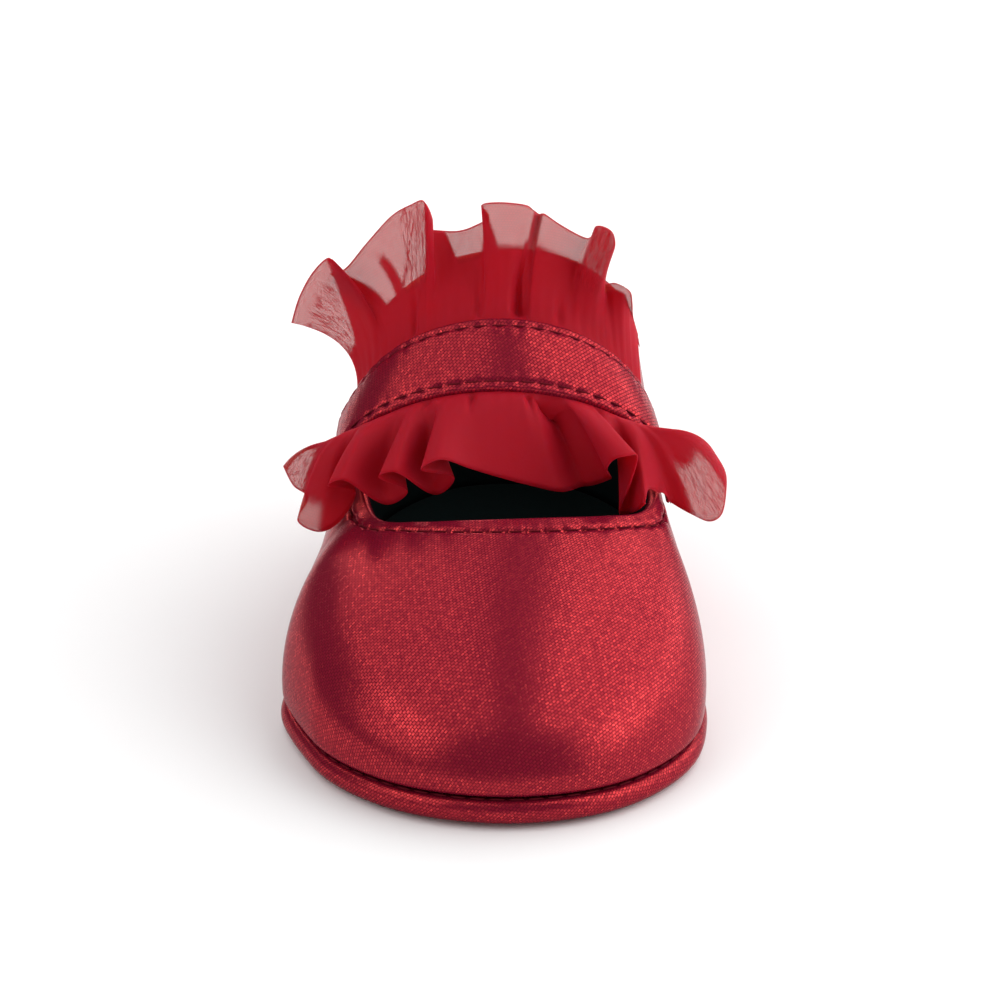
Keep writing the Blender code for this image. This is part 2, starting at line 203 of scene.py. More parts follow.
# The hem of each ruffle from the outer to the inner side, one row for each turn of a fold: angle of the
# arch where the fold is gathered into the strap, and where its hem lies.
Fold = namedtuple("Fold", "angle x y z")
LOWER_FOLDS = [
    Fold(-68, -30.6, 55.5, 29.4),
    Fold(-66, -31.0, 54.0, 30.6),
    Fold(-63, -29.5, 51.0, 29.0),
    Fold(-60, -27.4, 49.0, 28.0),
    Fold(-57, -28.8, 46.0, 25.8),
    Fold(-55, -25.6, 44.0, 25.0),
    Fold(-53, -22.6, 46.0, 26.0),
    Fold(-51, -20.6, 47.5, 29.6),
    Fold(-48, -24.2, 42.5, 32.8),
    Fold(-46, -23.0, 41.2, 34.4),
    Fold(-44, -21.2, 42.0, 33.6),
    Fold(-38, -17.4, 45.5, 29.0),
    Fold(-36, -15.0, 45.5, 28.8),
    Fold(-34.5, -13.2, 45.0, 31.0),
    Fold(-31.5, -17.0, 41.5, 34.6),
    Fold(-30, -15.6, 40.5, 36.0),
    Fold(-28.5, -13.8, 41.2, 35.2),
    Fold(-25.5, -10.2, 46.0, 30.2),
    Fold(-24, -8.0, 46.2, 30.2),
    Fold(-22.5, -6.6, 44.5, 33.4),
    Fold(-20, -11.0, 41.0, 36.0),
    Fold(-18, -9.6, 40.0, 37.8),
    Fold(-15, -7.6, 40.6, 37.8),
    Fold(-8, -4.2, 42.5, 35.6),
    Fold(0, 0.0, 43.8, 33.6),
    Fold(7, 5.0, 45.0, 31.6),
    Fold(13, 9.2, 46.0, 30.2),
    Fold(18, 12.8, 47.0, 30.2),
    Fold(22, 15.4, 48.0, 31.0),
    Fold(24, 15.0, 44.0, 34.6),
    Fold(27, 16.0, 41.5, 37.4),
    Fold(31, 18.0, 41.2, 38.2),
    Fold(34, 19.4, 42.5, 37.4),
    Fold(37, 18.4, 45.0, 31.8),
    Fold(40, 17.0, 46.2, 27.0),
    Fold(42, 18.6, 46.8, 26.6),
    Fold(44, 20.4, 43.5, 29.4),
    Fold(46, 21.2, 45.5, 31.0),
    Fold(48, 24.2, 49.5, 27.2),
    Fold(50, 27.4, 49.5, 25.2),
    Fold(51.5, 30.0, 50.5, 23.6),
    Fold(53, 31.8, 51.0, 24.6),
    Fold(55, 32.4, 52.0, 28.0),
    Fold(57, 32.2, 53.5, 30.2),
    Fold(59, 30.6, 55.0, 32.6),
]
UPPER_FOLDS = [
    Fold(-72, -30.2, 70.0, 46.2),
    Fold(-68, -29.0, 69.0, 50.6),
    Fold(-63, -27.0, 67.0, 55.2),
    Fold(-58, -24.6, 64.5, 58.6),
    Fold(-55, -23.4, 66.0, 56.6),
    Fold(-52, -24.4, 68.5, 54.4),
    Fold(-49, -22.2, 69.0, 55.2),
    Fold(-45, -19.2, 67.0, 59.8),
    Fold(-40, -15.6, 65.0, 64.8),
    Fold(-35, -12.8, 63.0, 67.4),
    Fold(-31, -10.8, 61.0, 68.8),
    Fold(-28, -9.6, 64.0, 64.6),
    Fold(-25, -10.4, 67.0, 62.2),
    Fold(-21, -8.2, 68.5, 61.2),
    Fold(-15, -5.8, 68.5, 61.2),
    Fold(-10, -3.6, 68.0, 62.2),
    Fold(-7, -1.6, 66.0, 64.4),
    Fold(-5, -2.6, 62.5, 67.6),
    Fold(-1, 0.0, 62.0, 68.2),
    Fold(5, 3.6, 63.0, 67.4),
    Fold(9, 4.8, 64.0, 66.2),
    Fold(10.5, 5.6, 65.5, 65.0),
    Fold(12.5, 6.4, 64.5, 65.4),
    Fold(17, 8.6, 65.5, 63.4),
    Fold(23, 11.6, 67.0, 61.0),
    Fold(28, 13.0, 67.5, 60.6),
    Fold(32, 13.8, 63.0, 64.2),
    Fold(37, 15.8, 61.5, 64.0),
    Fold(41, 16.4, 62.5, 61.6),
    Fold(45, 15.6, 66.0, 57.0),
    Fold(49, 15.0, 69.0, 52.8),
    Fold(53, 16.6, 68.0, 53.2),
    Fold(57, 18.6, 66.0, 52.8),
    Fold(61, 19.0, 66.5, 50.8),
    Fold(66, 19.2, 68.5, 47.6),
    Fold(72, 20.2, 70.0, 42.4),
]

# How each ruffle hangs: the strap's edge it leaves (0 front, 1 back), how far it runs on in the strap's own
# direction before it turns to its hem, how far it bows out, and how far its ends flare out and stand up.
Ruffle = namedtuple("Ruffle", "edge lead bow outer_flare inner_flare outer_rise inner_rise")
LOWER_RUFFLE = Ruffle(0.0, 3.5, 3.0, 3.5, 5.5, 1.5, 1.5)
UPPER_RUFFLE = Ruffle(1.0, 7.0, 0.6, 0.0, 0.0, 4.0, 9.0)

# Where the chiffon lies folded on itself or is sheer: a band between two angles at the hem and at the
# strap, from inner to outer as shares of the way out, and how solid it looks there. Later rows lie over
# earlier ones.
Band = namedtuple("Band", "hem_from hem_to root_from root_to inner outer amount")
LOWER_SOLID = [
    Band(-90.0, 90.0, -90.0, 90.0, -1.0, 2.0, 1.0),
    Band(-90.0, -61.5, -90.0, -62.0, 0.55, 2.0, 0.1),
    Band(-59.0, -55.0, -60.0, -55.0, 0.86, 2.0, 0.1),
    Band(50.2, 54.8, 51.0, 56.5, 0.68, 2.0, 0.12),
]
UPPER_SOLID = [
    Band(-90.0, 90.0, -90.0, 90.0, -1.0, 0.25, 1.0),
    Band(-90.0, -45.0, -90.0, -45.0, -1.0, 0.42, 1.0),
    Band(-48.0, -31.0, -48.0, -31.0, -1.0, 0.5, 0.95),
    Band(-31.0, 8.0, -31.0, 8.0, -1.0, 0.68, 0.95),
    Band(8.0, 47.0, 8.0, 47.0, -1.0, 0.74, 0.95),
    Band(-58.5, -50.5, -74.0, -43.0, -1.0, 2.0, 1.0),
    Band(-45.4, -45.0, -40.0, -34.0, -1.0, 0.84, 0.95),
    Band(-33.0, -32.0, -49.5, -48.5, 0.5, 0.9, 0.7),
    Band(-26.5, -25.5, -39.5, -38.0, 0.2, 0.62, 0.8),
    Band(-31.0, -20.5, -31.0, -8.0, -1.0, 2.0, 1.0),
    Band(-7.5, -4.8, -10.0, 6.0, -1.0, 2.0, 1.0),
    Band(9.2, 11.8, 9.0, 12.0, -1.0, 2.0, 0.75),
    Band(28.5, 46.0, 34.0, 50.0, -1.0, 2.0, 0.75),
    Band(47.0, 90.0, 47.0, 90.0, -1.0, 0.68, 1.0),
]
LOWER_CRINKLE = [
    Band(-90.0, -61.0, -90.0, -61.0, 0.3, 2.0, 0.5),
    Band(50.0, 58.0, 51.0, 59.0, 0.62, 2.0, 0.35),
]
UPPER_CRINKLE = [
    Band(-90.0, -59.5, -90.0, -75.0, 0.44, 0.88, 1.0),
    Band(-38.0, -31.0, -40.0, -31.0, 0.52, 2.0, 0.8),
    Band(27.0, 47.0, 30.0, 50.0, 0.5, 2.0, 0.25),
]

# Creases pressed into a ruffle where it is gathered: angle, depth, width in degrees and how far out they
# reach.
Crease = namedtuple("Crease", "angle depth width reach")
LOWER_CREASES = [
    Crease(-26.0, 0.7, 1.6, 0.5),
    Crease(-9.8, 1.0, 1.3, 0.6),
    Crease(9.8, 1.0, 1.3, 0.6),
    Crease(17.5, 5.0, 4.0, 1.8),
    Crease(36.0, 0.7, 1.6, 0.5),
]
UPPER_CREASES = [
    Crease(-36.0, 0.6, 1.6, 0.8),
    Crease(-9.0, 0.7, 1.6, 0.6),
    Crease(7.5, 2.4, 2.8, 1.0),
    Crease(24.0, 0.6, 1.8, 0.6),
]

# Each ruffle with its tables
Look = namedtuple("Look", "name node folds ruffle solid crinkle creases")
RUFFLES = [
    Look(
        "ruffle_lower_chiffon", "ruffle_lower", LOWER_FOLDS, LOWER_RUFFLE,
        LOWER_SOLID, LOWER_CRINKLE, LOWER_CREASES,
    ),
    Look(
        "ruffle_upper_chiffon", "ruffle_upper", UPPER_FOLDS, UPPER_RUFFLE,
        UPPER_SOLID, UPPER_CRINKLE, UPPER_CREASES,
    ),
]

# Sewing
STITCH_INSET = 3.0
STITCH_TROUGH = 0.3
STITCH_TROUGH_WIDTH = 0.42
STITCH_DIMPLE = 0.4
STITCH_PUFF = 0.12
STITCH_PUFF_SPREAD = 3.0
STITCH_HOLE_SHARPNESS = 3
TOPLINE_THREAD_LIFT = 0.12
STRAP_STITCH_INSET = 1.25
STRAP_STITCH_TROUGH = 0.14
STRAP_STITCH_DIMPLE = 0.2
STRAP_THREAD_LIFT = 0.04
SEAM_INSET = 0.75
SEAM_LIFT = 0.15
STITCH_SIDES = 10
STITCH_RINGS = 8

# Satin, in millimetres of cloth. Its floats are the threads that lie free on its face. Real ones are finer
# than the render can show, so they are drawn as coarse as they need to show. The light and dull floats and
# the gloss of the gaps are shares of the satin's colour and of its glint.
SATIN_FLOAT_LENGTH = 0.6
SATIN_FLOAT_WIDTH = 0.42
SATIN_FLOAT_GAP = 0.1
SATIN_RELIEF = 0.06
SATIN_BIAS = -45.0
SATIN_SPECKLES_PER_MM = 1.9
SATIN_SPECKLE_GAIN = 4.0
SATIN_SPECKLE_DROP = 0.85
SATIN_LIGHT_FLOAT = 1.2
SATIN_DULL_FLOAT = 0.5
SATIN_GAP_GLOSS = 0.05

# Chiffon, in millimetres of cloth, with its threads drawn as coarse as they need to show too. A cover is
# the share of the view that the cloth hides: by its threads, between them, in crinkles, at the hem and
# where it is folded. From the folded colour cover on, the cloth has the colour of folded chiffon; below it
# the colour turns towards the sheer colour, which holds painted light shining through one layer.
CHIFFON_THREAD_LENGTH = 0.48
CHIFFON_THREAD_WIDTH = 0.4
CHIFFON_THREAD_GAP = 0.08
CHIFFON_THREAD_COVER = 0.66
CHIFFON_LOOSE_COVER = 0.59
CHIFFON_GAP_COVER = 0.46
CHIFFON_RELIEF = 0.2
CHIFFON_GLOW_DEPTH = 0.6
CRINKLES_PER_MM_ALONG = 1.4
CRINKLES_PER_MM_OUT = 0.24
CRINKLE_WIDTH = 0.09
CRINKLE_COVER = 0.8
HEM_ROLL = 0.3
HEM_EDGE = 0.1
HEM_COVER = 0.8
FOLDED_COVER = 0.97
FOLDED_COLOUR_COVER = 0.5
CREPE_GRAINS_PER_MM = 2.2
CREPE_SHARE = 0.3

# Cotton lining, in millimetres of cloth, its grain drawn as coarse as it needs to show
COTTON_GRAINS_PER_MM = 2.5
COTTON_RELIEF = 0.1

# The photograph's camera, in the shoe's own frame
CAMERA_AT = (-0.0003, -0.7587, 0.3796)
CAMERA_TILT = 65.0
CAMERA_LENS = 209.97
CAMERA_SENSOR = 36.0

# Half a side of the floor, in metres
FLOOR_HALF = 2.0

# Light of the room, and softboxes that face a point in the shoe, in metres, by direction: azimuth from the
# camera's side, elevation, distance, size and brightness.
WORLD_BRIGHTNESS = 0.18
LIT_POINT = (0.0, 0.0, 0.03)
Softbox = namedtuple("Softbox", "name azimuth elevation distance wide high brightness")
SOFTBOXES = [
    Softbox("softbox left", -90.0, 62.0, 0.66, 1.0, 0.62, 1.0),
    Softbox("softbox right", 96.0, 48.0, 0.66, 1.0, 0.8, 1.8),
    Softbox("softbox back", 180.0, 35.0, 1.2, 1.6, 0.6, 2.1),
    Softbox("fill front left", -60.0, 28.0, 0.9, 0.7, 0.6, 1.4),
    Softbox("fill front right", 66.0, 18.0, 0.9, 0.8, 0.6, 1.4),
    Softbox("fill right rear", 116.0, 11.0, 0.9, 0.8, 0.34, 1.7),
]


def linear(code):
    """Linear colour of an sRGB hex code."""
    parts = [int(code[i : i + 2], 16) / 255.0 for i in (1, 3, 5)]
    return tuple(c / 12.92 if c <= 0.04045 else ((c + 0.055) / 1.055) ** 2.4 for c in parts)


class CribShoeSizes(bpy.types.PropertyGroup):
    """Sizes that a user may change."""

    stitch_pitch: FloatProperty(
        name="Stitch pitch",
        description="From one stitch to the next",
        default=0.0027, min=0.001, unit="LENGTH",
    )
    stitch_length: FloatProperty(
        name="Stitch length",
        description="Length of the thread that shows",
        default=0.0021, min=0.0005, unit="LENGTH",
    )
    thread_radius: FloatProperty(
        name="Thread radius",
        description="Half the thickness of the thread",
        default=0.00014, min=0.00005, unit="LENGTH",
    )
    gather_pitch: FloatProperty(
        name="Gather pitch",
        description="From one small gather of a ruffle to the next",
        default=0.0017, min=0.0008, unit="LENGTH",
    )
    gather_depth: FloatProperty(
        name="Gather depth",
        description="Height of the small gathers at the strap",
        default=0.00004, min=0.0, unit="LENGTH",
    )
    chiffon_thickness: FloatProperty(
        name="Chiffon thickness",
        description="Thickness of the ruffles' cloth",
        default=0.00014, min=0.00005, unit="LENGTH",
    )


class CribShoeColours(bpy.types.PropertyGroup):
    """Colours that a user may change."""

    satin: FloatVectorProperty(
        name="Satin",
        description="Colour of the satin's threads",
        default=linear("#79132C"), subtype="COLOR", min=0.0, max=1.0,
    )
    satin_glint: FloatVectorProperty(
        name="Satin glint",
        description="Colour of threads that catch the light",
        default=linear("#FF5250"), subtype="COLOR", min=0.0, max=1.0,
    )
    satin_gap: FloatVectorProperty(
        name="Satin gap",
        description="Colour between the threads",
        default=linear("#500C1C"), subtype="COLOR", min=0.0, max=1.0,
    )
    chiffon: FloatVectorProperty(
        name="Chiffon",
        description="Colour of the ruffles where they are folded",
        default=linear("#A41123"), subtype="COLOR", min=0.0, max=1.0,
    )
    # Sheer colour: the cloth's red brightened with painted light shining through one layer.
    chiffon_sheer_glow: FloatVectorProperty(
        name="Sheer chiffon",
        description="Colour of the ruffles where light shines through one layer",
        default=linear("#B4201C"), subtype="COLOR", min=0.0, max=1.0,
    )
    # Near-black with a teal tint, matched to the deep shade inside the shoe: the lining's dark cloth with
    # painted shade.
    lining: FloatVectorProperty(
        name="Lining",
        description="Colour of the lining and the footbed",
        default=linear("#0A1A1A"), subtype="COLOR", min=0.0, max=1.0,
    )
    thread: FloatVectorProperty(
        name="Thread",
        description="Colour of the sewing thread",
        default=linear("#5C0E1A"), subtype="COLOR", min=0.0, max=1.0,
    )
    floor: FloatVectorProperty(
        name="Floor",
        description="Colour of the floor",
        default=linear("#F6F6F6"), subtype="COLOR", min=0.0, max=1.0,
    )


def place(grid):
    """Points of the last, in the shoe's own frame."""
    return (np.asarray(grid, dtype=float) - (ORIGIN_X, ORIGIN_Y, 0.0)) * MM


def smooth(value, start, end):
    """Rise from 0 at start to 1 at end with level ends."""
    t = np.clip((value - start) / (end - start), 0.0, 1.0)
    return t * t * (3.0 - 2.0 * t)


def catmull_rom(before, a, b, after, t):
    """Point at t between rows a and b of a smooth curve, column by column."""
    return [
        0.5 * (2 * q + (r - p) * t + (2 * p - 5 * q + 4 * r - s) * t * t + (3 * q - p - 3 * r + s) * t ** 3)
        for p, q, r, s in zip(before, a, b, after)
    ]


def closed_curve(rows, steps):
    """Smooth closed curve through rows."""
    count = len(rows)
    return [
        catmull_rom(rows[i - 1], rows[i], rows[(i + 1) % count], rows[(i + 2) % count], k / steps)
        for i in range(count)
        for k in range(steps)
    ]


def open_curve(rows, steps):
    """Smooth open curve through rows."""
    ends = [rows[0], *rows, rows[-1]]
    curve = [
        catmull_rom(*ends[i : i + 4], k / steps)
        for i in range(len(rows) - 1)
        for k in range(steps)
    ]
    return [*curve, list(rows[-1])]


def centre_shift(y):
    """Sideways shift of the middle of the last at y."""
    for a, b in zip(CENTRE_LINE, CENTRE_LINE[1:]):
        if y <= b.y:
            return a.shift + (b.shift - a.shift) * smooth(y, a.y, b.y)
    return CENTRE_LINE[-1].shift


def sole_lift(y):
    """Height of the sole's underside over the floor: toe spring and arch."""
    toe = max(0.0, (TOE_SPRING_LENGTH - y) / TOE_SPRING_LENGTH)
    along = min(max((y - ARCH_START) / (ARCH_END - ARCH_START), 0.0), 1.0)
    return TOE_SPRING * toe ** 2 + ARCH_HEIGHT * math.sin(math.pi * along) ** 2


def section_rows():
    """Sections all round the last: from the heel up the outer side to the toe and down the inner side."""
    back = [row._replace(feather_x=-row.feather_x, top_x=-row.top_x) for row in SECTIONS[-2:0:-1]]
    rows = [Section(*row) for row in closed_curve([*SECTIONS, *back], SECTION_STEPS)]
    half = len(rows) // 2
    return [*rows[half:], *rows[:half]]


def feather_line(sections):
    """Plan of the last on the sole: points and outward directions."""
    points = [Vector((s.feather_x + centre_shift(s.feather_y), s.feather_y)) for s in sections]
    count = len(points)
    outward = []
    for i in range(count):
        along = points[(i + 1) % count] - points[i - 1]
        outward.append(Vector((along.y, -along.x)).normalized())
    return points, outward


def wall_corners(section, foot, outward):
    """The four points that lead the wall's outer face from the feather line to the topline."""
    out = Vector((outward.x, outward.y, 0.0))
    start = Vector((foot.x, foot.y, SOLE_THICKNESS + SEAT_GAP + sole_lift(foot.y)))
    throat = 1.0 - smooth(section.top_y, THROAT_FADE_START, THROAT_FADE_END)
    shift = Vector((THROAT_SHIFT, 0.0, THROAT_SLANT * section.top_x / THROAT_HALF_WIDTH))
    top = Vector((section.top_x + centre_shift(section.top_y), section.top_y, section.top_z))
    first = start + out * section.swell + Vector((0.0, 0.0, section.rise))
    second = top + out * section.top_out - Vector((0.0, 0.0, section.top_drop))
    return [start, first, second, top + shift * throat]


def wall_curves():
    """Outer face of the upper: a fine curve up each section, the heel's first and last."""
    sections = section_rows()
    points, outward = feather_line(sections)
    corners = np.array([wall_corners(*row) for row in zip(sections, points, outward)])
    t = np.linspace(0.0, 1.0, PROFILE_STEPS + 1)
    weights = np.stack([(1.0 - t) ** 3, 3.0 * (1.0 - t) ** 2 * t, 3.0 * (1.0 - t) * t * t, t ** 3])
    curves = np.einsum("nca,cp->npa", corners, weights)
    return np.concatenate([curves, curves[:1]])


def lengths(grid, axis):
    """Distance run along an axis of a grid of points, from 0."""
    steps = np.linalg.norm(np.diff(grid, axis=axis), axis=-1)
    start = np.zeros_like(np.take(steps, [0], axis=axis))
    return np.concatenate([start, np.cumsum(steps, axis=axis)], axis=axis)


def up_wall(curves, foot_rows, middle, top_rows):
    """Points up each curve at set distances from the sole and from the topline, evenly spread between."""
    grid = []
    for curve, run in zip(curves, lengths(curves, 1)):
        total = run[-1]
        between = np.linspace(foot_rows[-1], total - top_rows[0], middle + 2)[1:-1]
        at = np.concatenate([foot_rows, between, total - top_rows])
        grid.append(np.stack([np.interp(at, run, curve[:, axis]) for axis in range(3)], axis=1))
    return np.array(grid)


def normals(grid, ring):
    """Outward direction at each point of a grid; ring joins its first and last row."""
    if ring:
        rows = np.concatenate([grid[-2:-1], grid, grid[1:2]])
        around = rows[2:] - rows[:-2]
    else:
        around = np.gradient(grid, axis=0)
    out = np.cross(around, np.gradient(grid, axis=1))
    return out / np.linalg.norm(out, axis=2, keepdims=True)


def flat_pattern(grid):
    """Lay a grid of points out flat, like the cut piece of cloth, with its middle row upright."""
    rows, columns = grid.shape[:2]
    mesh = bpy.data.meshes.new("pattern")
    mesh.from_pydata(grid.reshape(-1, 3).tolist(), [], grid_faces(rows, columns))
    mesh.uv_layers.new(name=FLAT)
    piece = bpy.data.objects.new("pattern", mesh)
    bpy.context.scene.collection.objects.link(piece)
    bpy.context.view_layer.objects.active = piece
    piece.select_set(True)
    bpy.ops.object.mode_set(mode="EDIT")
    bpy.ops.mesh.select_all(action="SELECT")
    bpy.ops.uv.unwrap(method="CONFORMAL", margin=0.0)
    bpy.ops.object.mode_set(mode="OBJECT")
    corner = np.empty(len(mesh.loops), dtype=int)
    mesh.loops.foreach_get("vertex_index", corner)
    spread = np.empty(2 * len(mesh.loops))
    mesh.uv_layers[FLAT].data.foreach_get("uv", spread)
    flat = np.empty((rows * columns, 2))
    flat[corner] = spread.reshape(-1, 2)
    flat = flat.reshape(rows, columns, 2)
    bpy.data.objects.remove(piece)
    bpy.data.meshes.remove(mesh)
    middle = rows // 2
    run = flat[middle, -1] - flat[middle, 0]
    size = lengths(grid[middle : middle + 1], 1)[0, -1] / np.linalg.norm(run)
    turn = math.pi / 2.0 - math.atan2(run[1], run[0])
    spin = np.array([[math.cos(turn), math.sin(turn)], [-math.sin(turn), math.cos(turn)]])
    return (flat - flat[middle, 0]) @ spin * size


def grid_faces(rows, columns):
    """Quads of a grid of rows, each with the given number of columns."""
    return [
        (i * columns + k, (i + 1) * columns + k, (i + 1) * columns + k + 1, i * columns + k + 1)
        for i in range(rows - 1)
        for k in range(columns - 1)
    ]


def new_piece(name, points, faces, flat, material, marks=None):
    """One piece from points of the last, each with its place on the flat cloth and any other marks."""
    mesh = bpy.data.meshes.new(name)
    mesh.from_pydata(place(points).tolist(), [], faces)
    for mark, values in (marks or {}).items():
        mesh.attributes.new(mark, "FLOAT", "POINT").data.foreach_set("value", values.ravel())
    corner = np.empty(len(mesh.loops), dtype=int)
    mesh.loops.foreach_get("vertex_index", corner)
    layer = mesh.uv_layers.new(name=FLAT)
    layer.data.foreach_set("uv", np.asarray(flat)[corner].ravel())
    work = bmesh.new()
    work.from_mesh(mesh)
    bmesh.ops.remove_doubles(work, verts=work.verts, dist=1e-7)
    bmesh.ops.dissolve_degenerate(work, edges=work.edges, dist=1e-8)
    work.to_mesh(mesh)
    work.free()
    mesh.shade_smooth()
    mesh.materials.append(material)
    piece = bpy.data.objects.new(name, mesh)
    bpy.context.scene.collection.objects.link(piece)
    return piece


def settle(piece):
    """Turn a piece with modifiers into a plain mesh."""
    solid = bpy.data.meshes.new_from_object(piece.evaluated_get(bpy.context.evaluated_depsgraph_get()))
    piece.modifiers.clear()
    old = piece.data
    piece.data = solid
    bpy.data.meshes.remove(old)
    piece.data.name = piece.name
    piece.data.shade_smooth()


def thicken(piece, thickness, offset):
    """Give an open surface its thickness: offset 1 grows along the normals, -1 against them."""
    wall = piece.modifiers.new("thickness", "SOLIDIFY")
    wall.thickness = thickness * MM
    wall.offset = offset
    wall.use_even_offset = False
    settle(piece)


def finish_piece(piece, slot, *nodes):
    """Tie a finished piece to the shoe's body and the solids that it stands for; its finish, the slot, is
    not used.
    """
    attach(piece, "root")
    if nodes:
        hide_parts(*nodes)


def add_node(tree, kind, settings, inputs):
    """Add a node with its settings; an input is a value or the socket that feeds it."""
    node = tree.nodes.new(kind)
    for name, value in settings.items():
        setattr(node, name, value)
    for name, value in inputs.items():
        if isinstance(value, bpy.types.NodeSocket):
            tree.links.new(value, node.inputs[name])
        else:
            node.inputs[name].default_value = value
    return node


def new_material(name, values):
    """Material with its tree and main shader, constant values set on the shader itself."""
    material = bpy.data.materials.new(name)
    material.use_nodes = True
    shader = material.node_tree.nodes["Principled BSDF"]
    for socket, value in values.items():
        shader.inputs[socket].default_value = value
    return material, material.node_tree, shader


def colour(value, share=1.0):
    """A colour property with full opacity, made darker or lighter by a share."""
    return (*(share * part for part in value[:3]), 1.0)


def satin(colours):
    """Satin: crimson cloth under a strong red gloss that its fine twill breaks up into points of light."""
    material = bpy.data.materials.get("satin")
    if material:
        return material
    material, tree, shader = new_material(
        "satin",
        {
            "Roughness": 0.21,
            "IOR": 3.6,
            "Anisotropic": 0.55,
            "Anisotropic Rotation": 0.25,
        },
    )
    flat = add_node(tree, "ShaderNodeUVMap", {"uv_map": FLAT}, {})
    turn = (0.0, 0.0, math.radians(SATIN_BIAS))
    bias = add_node(tree, "ShaderNodeMapping", {}, {"Vector": flat.outputs["UV"], "Rotation": turn})
    glint = colours.satin_glint
    cloth, gloss = [
        add_node(
            tree,
            "ShaderNodeTexBrick",
            {"offset": 0.5, "offset_frequency": 2},
            {
                "Vector": bias.outputs["Vector"],
                "Color1": first,
                "Color2": second,
                "Mortar": gap,
                "Scale": 1.0,
                "Mortar Size": SATIN_FLOAT_GAP,
                "Mortar Smooth": 1.0,
                "Bias": 0.0,
                "Brick Width": SATIN_FLOAT_LENGTH,
                "Row Height": SATIN_FLOAT_WIDTH,
            },
        )
        for first, second, gap in (
            (colour(colours.satin), colour(colours.satin, SATIN_LIGHT_FLOAT), colour(colours.satin_gap)),
            (colour(glint, SATIN_DULL_FLOAT), colour(glint), colour(glint, SATIN_GAP_GLOSS)),
        )
    ]
    speckle = add_node(
        tree,
        "ShaderNodeTexNoise",
        {},
        {
            "Vector": bias.outputs["Vector"],
            "Scale": SATIN_SPECKLES_PER_MM,
            "Detail": 3.0,
            "Roughness": 0.75,
        },
    )
    bright = add_node(
        tree,
        "ShaderNodeMath",
        {"operation": "MULTIPLY_ADD"},
        {0: speckle.outputs["Fac"], 1: SATIN_SPECKLE_GAIN, 2: -SATIN_SPECKLE_DROP},
    )
    tint = add_node(
        tree,
        "ShaderNodeMix",
        {"data_type": "RGBA", "blend_type": "MULTIPLY"},
        {"Factor": 1.0, 6: gloss.outputs["Color"], 7: bright.outputs["Value"]},
    )
    height = add_node(
        tree,
        "ShaderNodeMath",
        {"operation": "SUBTRACT"},
        {0: speckle.outputs["Fac"], 1: cloth.outputs["Fac"]},
    )
    bump = add_node(
        tree,
        "ShaderNodeBump",
        {},
        {"Strength": 0.15, "Distance": SATIN_RELIEF * MM, "Height": height.outputs["Value"]},
    )
    tangent = add_node(tree, "ShaderNodeTangent", {"direction_type": "UV_MAP", "uv_map": FLAT}, {})
    tree.links.new(cloth.outputs["Color"], shader.inputs["Base Color"])
    tree.links.new(tint.outputs[2], shader.inputs["Specular Tint"])
    tree.links.new(bump.outputs["Normal"], shader.inputs["Normal"])
    tree.links.new(tangent.outputs["Tangent"], shader.inputs["Tangent"])
    return material


